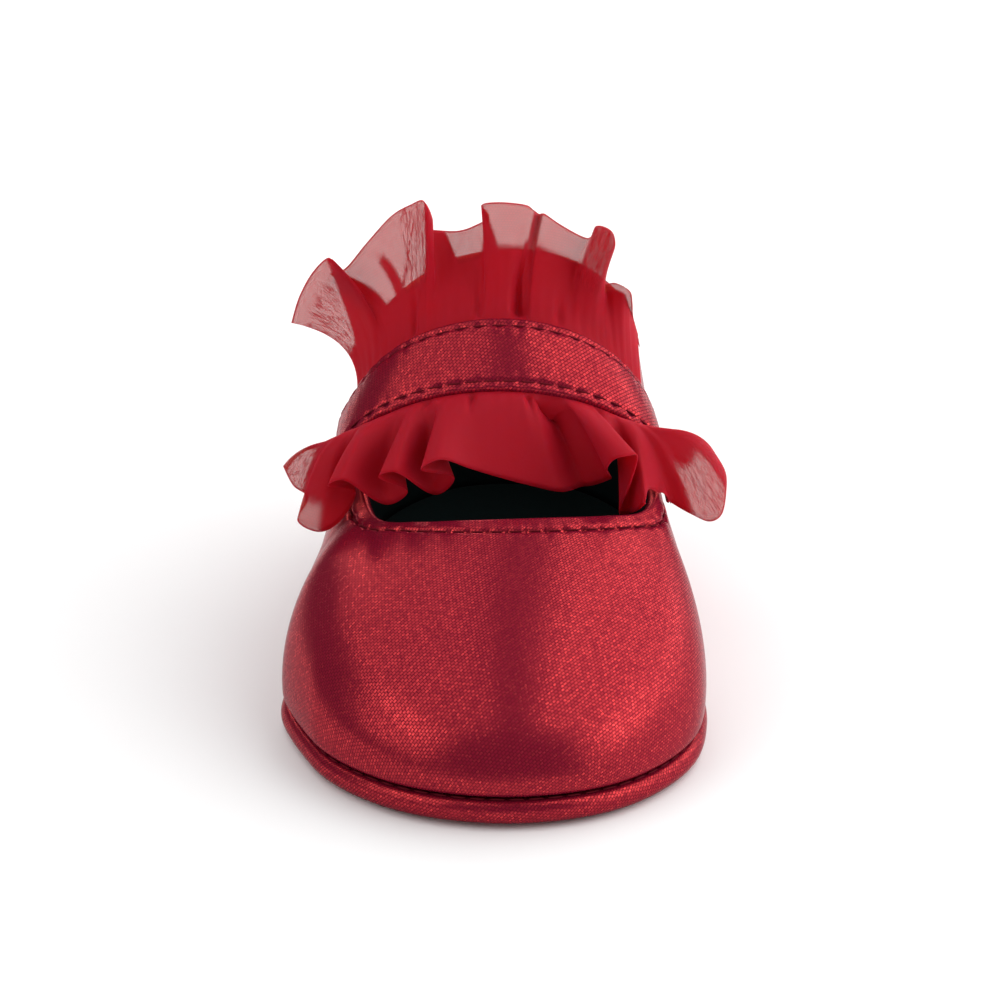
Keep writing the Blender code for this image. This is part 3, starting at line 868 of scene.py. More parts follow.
def chiffon(colours):
    """Chiffon: thin sheer crepe.

    One layer looks pale, because the background shows through it, and its sheer colour adds painted light
    shining through it. Folded layers look solid and glow a little, because light shines through the cloth.
    The hem is a narrow roll.
    """
    material = bpy.data.materials.get("sheer chiffon")
    if material:
        return material
    material, tree, shader = new_material(
        "sheer chiffon",
        {
            "Roughness": 0.65,
            "Specular IOR Level": 0.1,
            "Subsurface Weight": 0.9,
            "Subsurface Radius": (1.0, 0.12, 0.16),
            "Subsurface Scale": CHIFFON_GLOW_DEPTH * MM,
        },
    )
    flat = add_node(tree, "ShaderNodeUVMap", {"uv_map": FLAT}, {})
    solid = add_node(tree, "ShaderNodeAttribute", {"attribute_name": "solid"}, {})
    crinkle = add_node(tree, "ShaderNodeAttribute", {"attribute_name": "crinkle"}, {})
    weave = add_node(
        tree,
        "ShaderNodeTexBrick",
        {"offset": 0.5, "offset_frequency": 2},
        {
            "Vector": flat.outputs["UV"],
            "Color1": colour([CHIFFON_THREAD_COVER] * 3),
            "Color2": colour([CHIFFON_LOOSE_COVER] * 3),
            "Mortar": colour([CHIFFON_GAP_COVER] * 3),
            "Scale": 1.0,
            "Mortar Size": CHIFFON_THREAD_GAP,
            "Mortar Smooth": 1.0,
            "Brick Width": CHIFFON_THREAD_LENGTH,
            "Row Height": CHIFFON_THREAD_WIDTH,
        },
    )
    drawn_out = add_node(
        tree,
        "ShaderNodeMapping",
        {},
        {"Vector": flat.outputs["UV"], "Scale": (CRINKLES_PER_MM_ALONG, CRINKLES_PER_MM_OUT, 1.0)},
    )
    pleats = add_node(
        tree,
        "ShaderNodeTexNoise",
        {},
        {
            "Vector": drawn_out.outputs["Vector"],
            "Scale": 1.0,
            "Detail": 2.0,
            "Roughness": 0.55,
            "Distortion": 0.8,
        },
    )
    aside = add_node(tree, "ShaderNodeMath", {"operation": "SUBTRACT"}, {0: pleats.outputs["Fac"], 1: 0.5})
    off = add_node(tree, "ShaderNodeMath", {"operation": "ABSOLUTE"}, {0: aside.outputs["Value"]})
    ridge = add_node(
        tree,
        "ShaderNodeMapRange",
        {"interpolation_type": "SMOOTHSTEP"},
        {
            "Value": off.outputs["Value"],
            "From Min": CRINKLE_WIDTH,
            "From Max": 0.0,
            "To Min": -CRINKLE_COVER,
            "To Max": CRINKLE_COVER,
        },
    )
    crowded = add_node(
        tree,
        "ShaderNodeMath",
        {"operation": "MULTIPLY"},
        {0: ridge.outputs["Result"], 1: crinkle.outputs["Fac"]},
    )
    hem = add_node(tree, "ShaderNodeAttribute", {"attribute_name": "hem"}, {})
    edge = add_node(
        tree,
        "ShaderNodeMapRange",
        {"interpolation_type": "SMOOTHSTEP"},
        {
            "Value": hem.outputs["Fac"],
            "From Min": HEM_ROLL,
            "From Max": HEM_EDGE,
            "To Min": 0.0,
            "To Max": HEM_COVER,
        },
    )
    folded = add_node(
        tree,
        "ShaderNodeMath",
        {"operation": "ADD", "use_clamp": True},
        {0: crowded.outputs["Value"], 1: solid.outputs["Fac"]},
    )
    cover = add_node(
        tree,
        "ShaderNodeMath",
        {"operation": "MAXIMUM"},
        {0: folded.outputs["Value"], 1: edge.outputs["Result"]},
    )
    depth = add_node(
        tree, "ShaderNodeMapRange", {}, {"Value": cover.outputs["Value"], "From Max": FOLDED_COLOUR_COVER}
    )
    alpha = add_node(
        tree,
        "ShaderNodeMix",
        {"data_type": "FLOAT"},
        {"Factor": cover.outputs["Value"], 2: weave.outputs["Color"], 3: FOLDED_COVER},
    )
    # Below the folded colour cover the cloth takes the sheer colour, painted light shining through one
    # layer.
    coloured = add_node(
        tree,
        "ShaderNodeMix",
        {"data_type": "RGBA"},
        {"Factor": depth.outputs["Result"], 6: colour(colours.chiffon_sheer_glow), 7: colour(colours.chiffon)},
    )
    crepe = add_node(
        tree,
        "ShaderNodeTexNoise",
        {},
        {"Vector": flat.outputs["UV"], "Scale": CREPE_GRAINS_PER_MM, "Detail": 2.0, "Roughness": 0.6},
    )
    relief = add_node(
        tree,
        "ShaderNodeMath",
        {"operation": "MULTIPLY_ADD"},
        {0: crepe.outputs["Fac"], 1: CREPE_SHARE, 2: crowded.outputs["Value"]},
    )
    bump = add_node(
        tree,
        "ShaderNodeBump",
        {},
        {"Strength": 0.3, "Distance": CHIFFON_RELIEF * MM, "Height": relief.outputs["Value"]},
    )
    tree.links.new(coloured.outputs[2], shader.inputs["Base Color"])
    tree.links.new(alpha.outputs[0], shader.inputs["Alpha"])
    tree.links.new(bump.outputs["Normal"], shader.inputs["Normal"])
    return material


def cotton(colours):
    """Cotton lining: matt and nearly black with a teal tint, partly the cloth's own dark colour and partly
    painted shade of the shoe's inside.
    """
    material = bpy.data.materials.get("cotton lining")
    if material:
        return material
    material, tree, shader = new_material("cotton lining", {"Roughness": 0.9, "Specular IOR Level": 0.2})
    shader.inputs["Base Color"].default_value = colour(colours.lining)
    flat = add_node(tree, "ShaderNodeUVMap", {"uv_map": FLAT}, {})
    weave = add_node(
        tree,
        "ShaderNodeTexNoise",
        {},
        {"Vector": flat.outputs["UV"], "Scale": COTTON_GRAINS_PER_MM, "Detail": 2.0},
    )
    bump = add_node(
        tree,
        "ShaderNodeBump",
        {},
        {"Strength": 0.4, "Distance": COTTON_RELIEF * MM, "Height": weave.outputs["Fac"]},
    )
    tree.links.new(bump.outputs["Normal"], shader.inputs["Normal"])
    return material


def thread(colours):
    """Cotton sewing thread: matt and darker than the satin."""
    material = bpy.data.materials.get("sewing thread")
    if material:
        return material
    material, _, shader = new_material("sewing thread", {"Roughness": 0.9, "Specular IOR Level": 0.1})
    shader.inputs["Base Color"].default_value = colour(colours.thread)
    return material


def whole_pitch(total, pitch):
    """Number of stitches that fits a run."""
    return max(2, round(total / pitch))


def sewn(inset, run, line, pitch, trough, dimple):
    """How far cloth sinks at a row of stitches: inset is the distance to its edge, run goes along it."""
    beside = np.exp(-(((inset - line) / STITCH_TROUGH_WIDTH) ** 2))
    hole = (0.5 - 0.5 * np.cos(2.0 * math.pi * run / pitch)) ** STITCH_HOLE_SHARPNESS
    puff = np.exp(-(((inset - line) / (STITCH_PUFF_SPREAD * STITCH_TROUGH_WIDTH)) ** 2)) - beside
    return puff * STITCH_PUFF * (1.0 - hole) - beside * (trough + dimple * hole)


def make_upper(sizes, colours):
    """Vamp and quarters in one satin shell with a folded, stitched topline and a tucked foot."""
    curves = wall_curves()
    base = up_wall(curves, FOOT_ROWS, MIDDLE_ROWS, TOP_ROWS)
    out = normals(base, True)
    climb = lengths(base, 1)
    drop = climb[:, -1:] - climb + TOP_ROWS[-1]
    path = topline_path(curves)
    run = lengths(path[:, None], 0)
    pitch = run[-1, 0] / whole_pitch(run[-1, 0], sizes.stitch_pitch / MM)
    sink = sewn(drop, run, STITCH_INSET, pitch, STITCH_TROUGH, STITCH_DIMPLE)
    sink -= FOOT_TUCK * np.clip(1.0 - climb / FOOT_TUCK_HEIGHT, 0.0, 1.0) ** 2
    outer = base + out * sink[..., None]
    inner = base - out * WALL
    middle = (outer[:, -1] + inner[:, -1]) / 2.0
    reach = (outer[:, -1] - inner[:, -1]) / 2.0
    upward = base[:, -1] - base[:, -2]
    upward /= np.linalg.norm(upward, axis=1, keepdims=True)
    lip = []
    for k in range(1, LIP_STEPS):
        turn = math.pi * k / LIP_STEPS
        lip.append(middle + reach * math.cos(turn) + upward * LIP_HEIGHT * math.sin(turn))
    grid = np.concatenate([outer, np.stack(lip, axis=1), inner[:, ::-1], outer[:, :1]], axis=1)
    flat = flat_pattern(base)
    edge = flat[:, -1] - flat[:, -2]
    edge /= np.linalg.norm(edge, axis=1, keepdims=True)
    over = [flat[:, -1] + edge * (2.0 * WALL * k / LIP_STEPS) for k in range(1, LIP_STEPS)]
    flat = np.concatenate([flat, np.stack(over, axis=1), flat[:, ::-1], flat[:, :1]], axis=1)
    faces = grid_faces(*grid.shape[:2])
    piece = new_piece("upper_satin", grid.reshape(-1, 3), faces, flat.reshape(-1, 2), satin(colours))
    finish_piece(piece, "upper_satin", "upper")


def topline_path(curves):
    """Line of the stitches under the topline."""
    rows = np.array([STITCH_INSET])
    return up_wall(curves, np.array([0.0]), 0, rows)[:, -1]


def make_lining(colours):
    """Dark lining over the inside of the wall, from under the folded topline down to the footbed."""
    curves = wall_curves()[:: SECTION_STEPS // LINING_COLUMNS_PER_SECTION]
    base = up_wall(curves, LINING_FOOT_ROWS, MIDDLE_ROWS, LINING_TOP_ROWS)
    grid = base - normals(base, True) * (WALL + LINING_GAP)
    flat = np.stack(np.broadcast_arrays(lengths(grid[:, :1], 0), lengths(grid, 1)), axis=2)
    faces = grid_faces(*grid.shape[:2])
    piece = new_piece("upper_lining", grid.reshape(-1, 3), faces, flat.reshape(-1, 2), cotton(colours))
    thicken(piece, LINING_THICKNESS, -1.0)
    finish_piece(piece, "lining")


def make_slab(name, rim, material):
    """Closed slab inside the feather line: rings up its edge, cross lines over its two faces."""
    points, outward = feather_line(section_rows())
    count = len(points)
    edge = [Rim(*row) for row in open_curve(rim, RIM_STEPS)]
    rings = []
    for level in edge:
        ring = []
        for foot, out in zip([*points, points[0]], [*outward, outward[0]]):
            at = foot + out * level.out
            ring.append((at.x, at.y, level.height + sole_lift(foot.y)))
        rings.append(ring)
    grid = np.array(rings).transpose(1, 0, 2)
    run = lengths(grid[:, len(edge) // 2 : len(edge) // 2 + 1], 0)
    flat = np.stack(np.broadcast_arrays(run, lengths(grid, 1)), axis=2).reshape(-1, 2)
    faces = grid_faces(*grid.shape[:2])
    vertices = grid.reshape(-1, 3)
    for level, upward in ((0, False), (len(edge) - 1, True)):
        sheet = face_across(grid[:count, level], edge[level].height)
        first = len(vertices)
        across = grid_faces(*sheet.shape[:2])
        faces += [[first + v for v in (face if upward else face[::-1])] for face in across]
        vertices = np.concatenate([vertices, sheet.reshape(-1, 3)])
        flat = np.concatenate([flat, sheet[..., :2].reshape(-1, 2)])
    return new_piece(name, vertices, faces, flat, material)


def face_across(ring, height):
    """One face of a slab as lines from its outer to its inner side, from the heel to the toe."""
    half = len(ring) // 2
    t = np.linspace(0.0, 1.0, SLAB_STEPS + 1)[:, None]
    lines = []
    for i in range(half + 1):
        line = ring[i] * (1.0 - t) + ring[-i] * t
        line[1:-1, 2] = [height + sole_lift(y) for y in line[1:-1, 1]]
        lines.append(line)
    return np.array(lines)


def wall_tree(leads):
    """The upper's outer face as a search tree, in millimetres, led on above the topline."""
    curves = wall_curves()[:, :: PROFILE_STEPS // WALL_TREE_STEPS]
    top = curves[:, -1]
    for lead in leads:
        above = top.copy()
        above[:, 0] -= np.sign(top[:, 0]) * lead.inward
        above[:, 2] += lead.up
        curves = np.concatenate([curves, above[:, None]], axis=1)
    return BVHTree.FromPolygons(curves.reshape(-1, 3).tolist(), grid_faces(*curves.shape[:2]))


def arch_point(arch, angle):
    """Point of a strap edge: an ellipse over the foot that runs down into straight tails."""
    side = math.copysign(1.0, angle)
    turn = math.radians(min(abs(angle), 90.0))
    tail = max(abs(angle) - 90.0, 0.0) / STRAP_TAIL_ANGLE * STRAP_TAIL
    y = arch.top_y + (arch.side_y - arch.top_y) * (1.0 - math.cos(turn))
    z = arch.foot_z + arch.rise * math.cos(turn) - tail
    return Vector((side * arch.half_width * math.sin(turn), y, z))


def seated(point, tree):
    """Move a strap point out until it lies on the quarter's outer face."""
    side = math.copysign(1.0, point.x)
    far = Vector((side * 2.0 * SHOE_LENGTH, point.y, point.z))
    hit = tree.ray_cast(far, Vector((-side, 0.0, 0.0)))[0]
    if hit is None or hit.x * side < WALL_SEARCH:
        return point
    spread = point.x * side
    seat = hit.x * side + SEAT_GAP
    reach = 0.5 * (spread + seat + math.hypot(spread - seat, STRAP_SEAT_BLEND))
    return Vector((side * reach, point.y, point.z))


def strap_point(angle, across, tree):
    """Inner face of the strap: across runs from 0 at the front edge to 1 at the back edge."""
    front = arch_point(STRAP_FRONT, angle)
    back = arch_point(STRAP_BACK, angle)
    point = seated(front.lerp(back, across), tree)
    crown = STRAP_CROWN * 4.0 * across * (1.0 - across)
    return point + strap_outward(angle) * crown


def strap_outward(angle):
    """Direction away from the foot at an angle of the strap's arch."""
    turn = math.radians(max(-90.0, min(90.0, angle)))
    slope = (STRAP_BACK.top_y - STRAP_FRONT.top_y) / math.cos(turn / 2.0)
    lift = (STRAP_BACK.foot_z + STRAP_BACK.rise - STRAP_FRONT.foot_z - STRAP_FRONT.rise) * math.cos(turn)
    return Vector((math.sin(turn) * slope, -lift * math.cos(turn), math.cos(turn) * slope)).normalized()


def strap_grid(tree, steps_along, steps_across):
    """Inner face of the strap as a grid from the outer to the inner side, front edge first."""
    reach = 90.0 + STRAP_TAIL_ANGLE
    return np.array(
        [
            [strap_point(angle, across, tree) for across in np.linspace(0.0, 1.0, steps_across + 1)]
            for angle in np.linspace(-reach, reach, steps_along + 1)
        ]
    )


def make_strap(tree, sizes, colours):
    """Padded satin band over the instep with rounded edges and a stitched row along each."""
    base = strap_grid(tree, STRAP_STEPS_ALONG, STRAP_STEPS_ACROSS)
    out = normals(base, False)
    across = lengths(base, 1)
    width = across[:, -1:]
    inset = np.minimum(across, width - across)
    front, back = strap_paths(base)
    round_edge = STRAP_THICKNESS / 2.0
    curve = np.sqrt(np.clip(1.0 - np.clip(1.0 - inset / round_edge, 0.0, 1.0) ** 2, 0.0, 1.0)) * round_edge
    high = round_edge + curve
    for path, near in ((front, across), (back, width - across)):
        run = lengths(path[:, None], 0)
        pitch = run[-1, 0] / whole_pitch(run[-1, 0], sizes.stitch_pitch / MM)
        high = high + sewn(near, run, STRAP_STITCH_INSET, pitch, STRAP_STITCH_TROUGH, STRAP_STITCH_DIMPLE)
    thin = strap_thinning(len(base))[:, None]
    outer = base + out * (high * thin)[..., None]
    inner = base + out * ((round_edge - curve) * thin)[..., None]
    grid = np.concatenate([outer, inner[:, ::-1], outer[:, :1]], axis=1)
    along = lengths(base[:, STRAP_STEPS_ACROSS // 2][:, None], 0)
    face = np.stack(np.broadcast_arrays(along, across), axis=2)
    flat = np.concatenate([face, face[:, ::-1], face[:, :1]], axis=1)
    faces = grid_faces(*grid.shape[:2])
    columns = grid.shape[1]
    last = (len(grid) - 1) * columns
    for k in range(STRAP_STEPS_ACROSS):
        back_k = columns - 2 - k
        faces.append((k, k + 1, back_k - 1, back_k))
        faces.append((last + k + 1, last + k, last + back_k, last + back_k - 1))
    piece = new_piece("strap_satin", grid.reshape(-1, 3), faces, flat.reshape(-1, 2), satin(colours))
    finish_piece(piece, "strap_satin", "strap")


def strap_thinning(rows):
    """Share of the strap's thickness at each row of its grid: thinner towards its sewn ends."""
    reach = 90.0 + STRAP_TAIL_ANGLE
    angle = abs(np.linspace(-reach, reach, rows))
    return 1.0 - (1.0 - STRAP_END_SHARE) * smooth(angle, STRAP_THIN_FROM, 90.0)


def strap_paths(base):
    """Lines of the two rows of stitches on the strap, on its inner face."""
    across = lengths(base, 1)
    rows = []
    for from_back in (False, True):
        line = []
        for points, run in zip(base, across):
            at = run[-1] - STRAP_STITCH_INSET if from_back else STRAP_STITCH_INSET
            line.append([np.interp(at, run, points[:, axis]) for axis in range(3)])
        rows.append(np.array(line))
    return rows


def gather_point(angle, edge, tree):
    """Where a ruffle leaves the strap's edge, at half its thickness, and in which direction."""
    lift = strap_outward(angle) * STRAP_THICKNESS / 2.0
    at = strap_point(angle, edge, tree) + lift
    along = (at - strap_point(angle, 0.5, tree) - lift).normalized()
    return at, along


def clear_of_wall(point, tree):
    """Keep a ruffle out of the wall, on the side where it hangs; past the topline it is free."""
    nearest, normal = tree.find_nearest(point)[:2]
    offset = point - nearest
    height = offset.dot(normal)
    inside = -WALL - RUFFLE_CLEARANCE
    past_edge = (offset - normal * height).length > PAST_EDGE
    if past_edge or height < inside or height > RUFFLE_CLEARANCE:
        return point
    side = RUFFLE_CLEARANCE if height > -WALL / 2.0 else inside
    return point + normal * (side - height)


def ruffle_turn(angle, ruffle, tree):
    """Where a ruffle leaves the strap, in which direction, and the point by which it turns to its hem."""
    root, along = gather_point(angle, ruffle.edge, tree)
    end = smooth(abs(angle), END_START, END_FULL)
    flare = ruffle.outer_flare if angle < 0.0 else ruffle.inner_flare
    rise = ruffle.outer_rise if angle < 0.0 else ruffle.inner_rise
    out = strap_outward(angle) * (ruffle.bow + flare * end)
    return root, along, root + along * ruffle.lead + out + Vector((0.0, 0.0, rise * end))


def ruffle_grid(hem, ruffle, seat, wall):
    """Gathered strip from inside an edge of the strap to its folded hem."""
    rows = []
    for fold in hem:
        root, along, turn = ruffle_turn(fold.angle, ruffle, seat)
        tip = Vector((fold.x, fold.y, fold.z))
        row = [root - along * RUFFLE_TUCK]
        for k in range(RUFFLE_STEPS_OUT + 1):
            t = k / RUFFLE_STEPS_OUT
            point = root.lerp(turn, t).lerp(turn.lerp(tip, t), t)
            row.append(clear_of_wall(point, wall) if k else point)
        rows.append(row)
    return np.array(rows)


def banded(bands, angle, out):
    """Amount at each point of a ruffle from a table of bands; out is 0 at the strap and 1 at the hem."""
    amount = np.zeros(np.broadcast_shapes(angle.shape, out.shape))
    for band in bands:
        first = band.root_from + (band.hem_from - band.root_from) * out
        last = band.root_to + (band.hem_to - band.root_to) * out
        mask = smooth(angle, first - BAND_FADE_ANGLE, first + BAND_FADE_ANGLE)
        mask = mask * (1.0 - smooth(angle, last - BAND_FADE_ANGLE, last + BAND_FADE_ANGLE))
        mask = mask * smooth(out, band.inner - BAND_FADE_OUT, band.inner + BAND_FADE_OUT)
        mask = mask * (1.0 - smooth(out, band.outer - BAND_FADE_OUT, band.outer + BAND_FADE_OUT))
        amount += (band.amount - amount) * mask
    return amount


def make_ruffle(look, seat, wall, sizes, colours):
    """Sheet of chiffon with small gathers and creases at the strap that fade towards its folded hem."""
    hem_rows = [Fold(*row) for row in open_curve(look.folds, RUFFLE_STEPS_ALONG)]
    grid = ruffle_grid(hem_rows, look.ruffle, seat, wall)
    angle = np.array([fold.angle for fold in hem_rows])[:, None]
    out = np.concatenate([[0.0], np.linspace(0.0, 1.0, RUFFLE_STEPS_OUT + 1)])[None, :]
    root = lengths(grid[:, 1][:, None], 0)
    drift = GATHER_DRIFT * np.sin(root / GATHER_DRIFT_RUN)
    wave = np.sin(2.0 * math.pi * root / (sizes.gather_pitch / MM) + drift)
    press = wave * (1.0 - out) ** GATHER_FADE * sizes.gather_depth / MM
    for crease in look.creases:
        beside = np.exp(-(((angle - crease.angle) / crease.width) ** 2))
        press = press - crease.depth * beside * (1.0 - smooth(out, 0.0, crease.reach))
    press = press * smooth(out, 0.0, GATHER_START)
    outward = 1.0 if look.ruffle.edge else -1.0
    grid = grid + normals(grid, False) * outward * press[..., None]
    reach = lengths(grid, 1)
    hem = lengths(grid[:, -1][:, None], 0)
    flat = np.stack(np.broadcast_arrays(hem, reach), axis=2)
    marks = {
        "solid": banded(look.solid, angle, out),
        "crinkle": banded(look.crinkle, angle, out),
        "hem": reach[:, -1:] - reach,
    }
    faces = grid_faces(*grid.shape[:2])
    piece = new_piece(look.name, grid.reshape(-1, 3), faces, flat.reshape(-1, 2), chiffon(colours), marks)
    thicken(piece, sizes.chiffon_thickness / MM, 0.0)
    finish_piece(piece, "chiffon", look.node)


def stitch_tree():
    """Geometry nodes: threads laid end to end along an edge."""
    tree = bpy.data.node_groups.new("stitches along an edge", "GeometryNodeTree")
    for name, kind in (
        ("Path", "NodeSocketGeometry"),
        ("Count", "NodeSocketInt"),
        ("Length", "NodeSocketFloat"),
        ("Radius", "NodeSocketFloat"),
        ("Thread", "NodeSocketMaterial"),
    ):
        tree.interface.new_socket(name, in_out="INPUT", socket_type=kind)
    tree.interface.new_socket("Stitches", in_out="OUTPUT", socket_type="NodeSocketGeometry")
    given = add_node(tree, "NodeGroupInput", {}, {}).outputs
    line = add_node(tree, "GeometryNodeMeshToCurve", {}, {"Mesh": given["Path"]})
    spots = add_node(
        tree,
        "GeometryNodeResampleCurve",
        {"mode": "COUNT"},
        {"Curve": line.outputs["Curve"], "Count": given["Count"]},
    )
    tangent = add_node(tree, "GeometryNodeInputTangent", {}, {})
    turned = add_node(
        tree, "FunctionNodeAlignRotationToVector", {"axis": "Z"}, {"Vector": tangent.outputs["Tangent"]}
    )
    half = add_node(tree, "ShaderNodeMath", {"operation": "MULTIPLY"}, {0: given["Length"], 1: 0.5})
    size = add_node(
        tree,
        "ShaderNodeCombineXYZ",
        {},
        {"X": given["Radius"], "Y": given["Radius"], "Z": half.outputs["Value"]},
    )
    grain = add_node(
        tree,
        "GeometryNodeMeshUVSphere",
        {},
        {"Segments": STITCH_SIDES, "Rings": STITCH_RINGS, "Radius": 1.0},
    )
    laid = add_node(
        tree,
        "GeometryNodeInstanceOnPoints",
        {},
        {
            "Points": spots.outputs["Curve"],
            "Instance": grain.outputs["Mesh"],
            "Rotation": turned.outputs["Rotation"],
            "Scale": size.outputs["Vector"],
        },
    )
    real = add_node(tree, "GeometryNodeRealizeInstances", {}, {"Geometry": laid.outputs["Instances"]})
    coloured = add_node(
        tree,
        "GeometryNodeSetMaterial",
        {},
        {"Geometry": real.outputs["Geometry"], "Material": given["Thread"]},
    )
    add_node(tree, "NodeGroupOutput", {}, {"Stitches": coloured.outputs["Geometry"]})
    return tree


def make_stitches(name, paths, closed, sizes, colours, slot):
    """Rows of stitches along paths of the last, as one piece."""
    tree = bpy.data.node_groups.get("stitches along an edge") or stitch_tree()
    sockets = {item.name: item.identifier for item in tree.interface.items_tree}
    rows = []
    for path in paths:
        total = lengths(path[:, None], 0)[-1, 0]
        points = path[:-1] if closed else path
        edges = [(i, i + 1) for i in range(len(points) - 1)]
        if closed:
            edges.append((len(points) - 1, 0))
        mesh = bpy.data.meshes.new(name)
        mesh.from_pydata(place(points).tolist(), edges, [])
        row = bpy.data.objects.new(name, mesh)
        bpy.context.scene.collection.objects.link(row)
        sewing = row.modifiers.new("stitches", "NODES")
        sewing.node_group = tree
        sewing[sockets["Count"]] = whole_pitch(total, sizes.stitch_pitch / MM) + (0 if closed else 1)
        sewing[sockets["Length"]] = sizes.stitch_length
        sewing[sockets["Radius"]] = sizes.thread_radius
        sewing[sockets["Thread"]] = thread(colours)
        settle(row)
        rows.append(row)
    bpy.ops.object.select_all(action="DESELECT")
    for row in rows:
        row.select_set(True)
    bpy.context.view_layer.objects.active = rows[0]
    if len(rows) > 1:
        bpy.ops.object.join()
    finish_piece(rows[0], slot)


def paper(colours):
    """White paper: matt, so that the floor shows soft shade and no gloss."""
    material, _, shader = new_material("white paper", {"Roughness": 0.9, "Specular IOR Level": 0.1})
    shader.inputs["Base Color"].default_value = colour(colours.floor)
    return material


def make_floor(scene):
    """Floor that the shoe stands on."""
    mesh = bpy.data.meshes.new("floor")
    corners = [(x * FLOOR_HALF, y * FLOOR_HALF, 0.0) for x, y in ((-1, -1), (1, -1), (1, 1), (-1, 1))]
    mesh.from_pydata(corners, [], [(0, 1, 2, 3)])
    mesh.materials.append(paper(scene.crib_shoe_colours))
    floor = bpy.data.objects.new("floor", mesh)
    scene.collection.objects.link(floor)


def make_lights(scene):
    """Softboxes round the shoe in a dim white room."""
    for box in SOFTBOXES:
        turn = math.radians(box.azimuth)
        climb = math.radians(box.elevation)
        level = math.cos(climb)
        toward = Vector((math.sin(turn) * level, -math.cos(turn) * level, math.sin(climb)))
        lamp = bpy.data.lights.new(box.name, "AREA")
        lamp.shape = "RECTANGLE"
        lamp.size = box.wide
        lamp.size_y = box.high
        lamp.energy = box.brightness * math.pi * box.wide * box.high
        light = bpy.data.objects.new(box.name, lamp)
        light.location = Vector(LIT_POINT) + toward * box.distance
        light.rotation_euler = (-toward).to_track_quat("-Z", "Y").to_euler()
        scene.collection.objects.link(light)
    world = bpy.data.worlds.new("studio")
    world.use_nodes = True
    room = world.node_tree.nodes["Background"]
    room.inputs["Color"].default_value = (1.0, 1.0, 1.0, 1.0)
    room.inputs["Strength"].default_value = WORLD_BRIGHTNESS
    scene.world = world
    scene.view_settings.view_transform = "Standard"


def make_camera(scene):
    """Camera at the photograph's place."""
    lens = bpy.data.cameras.new("camera")
    lens.sensor_width = CAMERA_SENSOR
    lens.lens = CAMERA_LENS
    camera = bpy.data.objects.new("camera", lens)
    camera.location = CAMERA_AT
    camera.rotation_euler = (math.radians(CAMERA_TILT), 0.0, 0.0)
    scene.collection.objects.link(camera)
    scene.camera = camera


class CRIBSHOE_OT_sole(bpy.types.Operator):
    """Wrap the sole in satin and lay the footbed in it"""

    bl_idname = "cribshoe.sole"
    bl_label = "Sole and footbed"

    def execute(self, context):
        colours = context.scene.crib_shoe_colours
        wrap = make_slab("sole_satin", OUTSOLE_RIM, satin(colours))
        finish_piece(wrap, "sole_satin", "outsole")
        bed = make_slab("footbed", INSOLE_EDGE, cotton(colours))
        finish_piece(bed, "lining", "insole")
        return {"FINISHED"}


class CRIBSHOE_OT_upper(bpy.types.Operator):
    """Make the satin upper and its lining"""

    bl_idname = "cribshoe.upper"
    bl_label = "Upper and lining"

    def execute(self, context):
        make_upper(context.scene.crib_shoe_sizes, context.scene.crib_shoe_colours)
        make_lining(context.scene.crib_shoe_colours)
        return {"FINISHED"}


class CRIBSHOE_OT_strap(bpy.types.Operator):
    """Make the strap over the instep"""

    bl_idname = "cribshoe.strap"
    bl_label = "Strap"

    def execute(self, context):
        make_strap(wall_tree(STRAP_LEADS), context.scene.crib_shoe_sizes, context.scene.crib_shoe_colours)
        return {"FINISHED"}


class CRIBSHOE_OT_ruffles(bpy.types.Operator):
    """Gather the two chiffon ruffles on the strap"""

    bl_idname = "cribshoe.ruffles"
    bl_label = "Ruffles"

    def execute(self, context):
        sizes = context.scene.crib_shoe_sizes
        colours = context.scene.crib_shoe_colours
        seat = wall_tree(STRAP_LEADS)
        wall = wall_tree([])
        for look in RUFFLES:
            make_ruffle(look, seat, wall, sizes, colours)
        return {"FINISHED"}


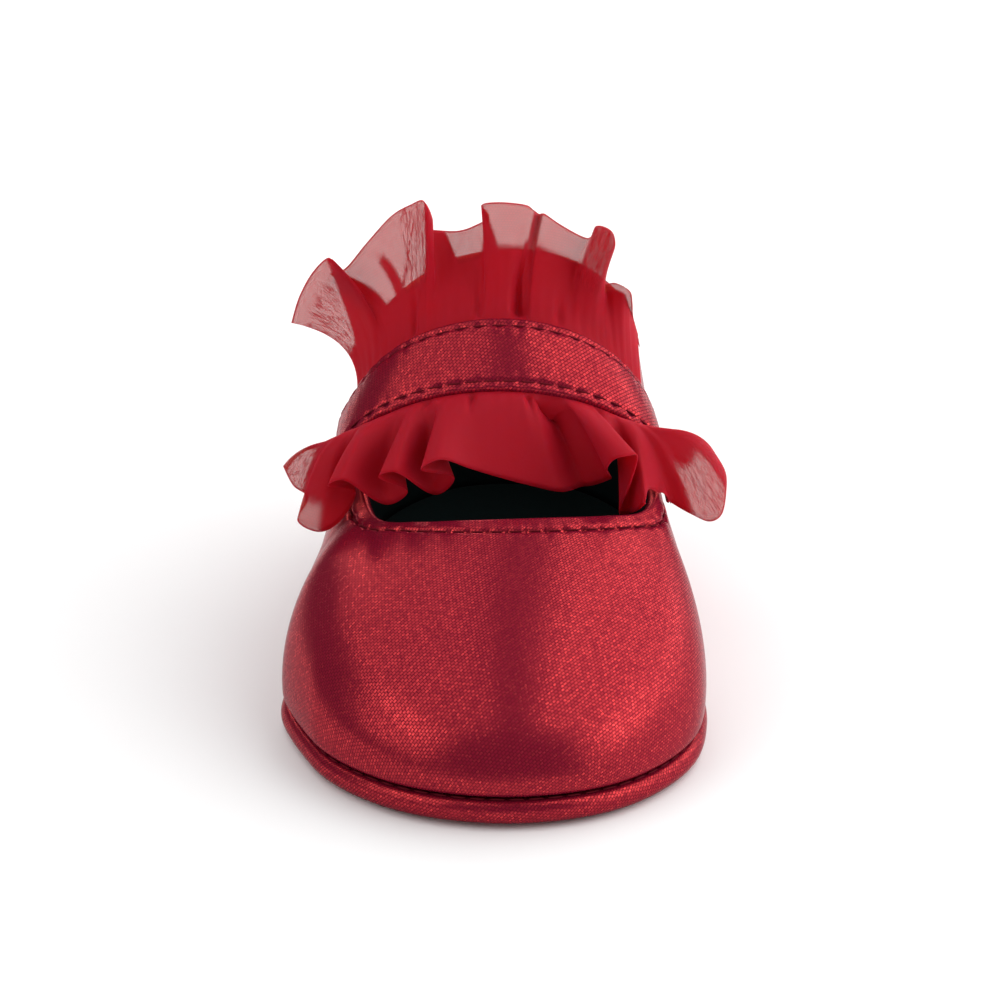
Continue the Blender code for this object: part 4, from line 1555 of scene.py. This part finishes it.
class CRIBSHOE_OT_stitches(bpy.types.Operator):
    """Sew the topline, the strap and the sole"""

    bl_idname = "cribshoe.stitches"
    bl_label = "Stitches"

    def execute(self, context):
        sizes = context.scene.crib_shoe_sizes
        colours = context.scene.crib_shoe_colours
        curves = wall_curves()
        base = up_wall(curves, FOOT_ROWS, MIDDLE_ROWS, TOP_ROWS)
        column = int(np.argmin(abs(TOP_ROWS - STITCH_INSET))) - len(TOP_ROWS)
        sunk = normals(base, True)[:, column] * (STITCH_TROUGH - TOPLINE_THREAD_LIFT)
        topline = topline_path(curves) - sunk
        make_stitches("topline_stitches", [topline], True, sizes, colours, "upper_satin")
        strap = strap_grid(wall_tree(STRAP_LEADS), STRAP_STEPS_ALONG, STRAP_STEPS_ACROSS)
        out = normals(strap, False)[:, STRAP_STEPS_ACROSS // 2]
        lift = STRAP_THICKNESS - STRAP_STITCH_TROUGH + STRAP_THREAD_LIFT
        lift = lift * strap_thinning(len(strap))[:, None]
        rows = [path + out * lift for path in strap_paths(strap)]
        make_stitches("strap_stitches", rows, False, sizes, colours, "strap_satin")
        points, outward = feather_line(section_rows())
        seam = [
            (*(foot - out * SEAM_INSET), SOLE_THICKNESS + SEAM_LIFT + sole_lift(foot.y))
            for foot, out in zip(points, outward)
        ]
        make_stitches("sole_stitches", [np.array([*seam, seam[0]])], True, sizes, colours, "sole_satin")
        return {"FINISHED"}


class CRIBSHOE_OT_stage(bpy.types.Operator):
    """Set the floor, the lights and the camera"""

    bl_idname = "cribshoe.stage"
    bl_label = "Stage"

    def execute(self, context):
        make_floor(context.scene)
        make_lights(context.scene)
        make_camera(context.scene)
        return {"FINISHED"}


class CRIBSHOE_PT_panel(bpy.types.Panel):
    """Sizes, colours and steps of the crib shoe"""

    bl_idname = "CRIBSHOE_PT_panel"
    bl_label = "Crib shoe"
    bl_space_type = "VIEW_3D"
    bl_region_type = "UI"
    bl_category = "Crib shoe"

    def draw(self, context):
        for group in (context.scene.crib_shoe_sizes, context.scene.crib_shoe_colours):
            for name in group.bl_rna.properties.keys():
                if name not in {"rna_type", "name"}:
                    self.layout.prop(group, name)
        for step in STEPS:
            self.layout.operator(step.bl_idname)


STEPS = (
    CRIBSHOE_OT_sole,
    CRIBSHOE_OT_upper,
    CRIBSHOE_OT_strap,
    CRIBSHOE_OT_ruffles,
    CRIBSHOE_OT_stitches,
    CRIBSHOE_OT_stage,
)
CLASSES = (CribShoeSizes, CribShoeColours, *STEPS, CRIBSHOE_PT_panel)


def register():
    """Add the classes and their settings to Blender."""
    for item in CLASSES:
        bpy.utils.register_class(item)
    bpy.types.Scene.crib_shoe_sizes = PointerProperty(type=CribShoeSizes)
    bpy.types.Scene.crib_shoe_colours = PointerProperty(type=CribShoeColours)


def unregister():
    """Take the classes and their settings out of Blender."""
    del bpy.types.Scene.crib_shoe_colours
    del bpy.types.Scene.crib_shoe_sizes
    for item in reversed(CLASSES):
        bpy.utils.unregister_class(item)


def main():
    """Dress the shoe step by step."""
    register()
    bpy.ops.cribshoe.sole()
    bpy.ops.cribshoe.upper()
    bpy.ops.cribshoe.strap()
    bpy.ops.cribshoe.ruffles()
    bpy.ops.cribshoe.stitches()
    bpy.ops.cribshoe.stage()


if __name__ == "__main__":
    main()
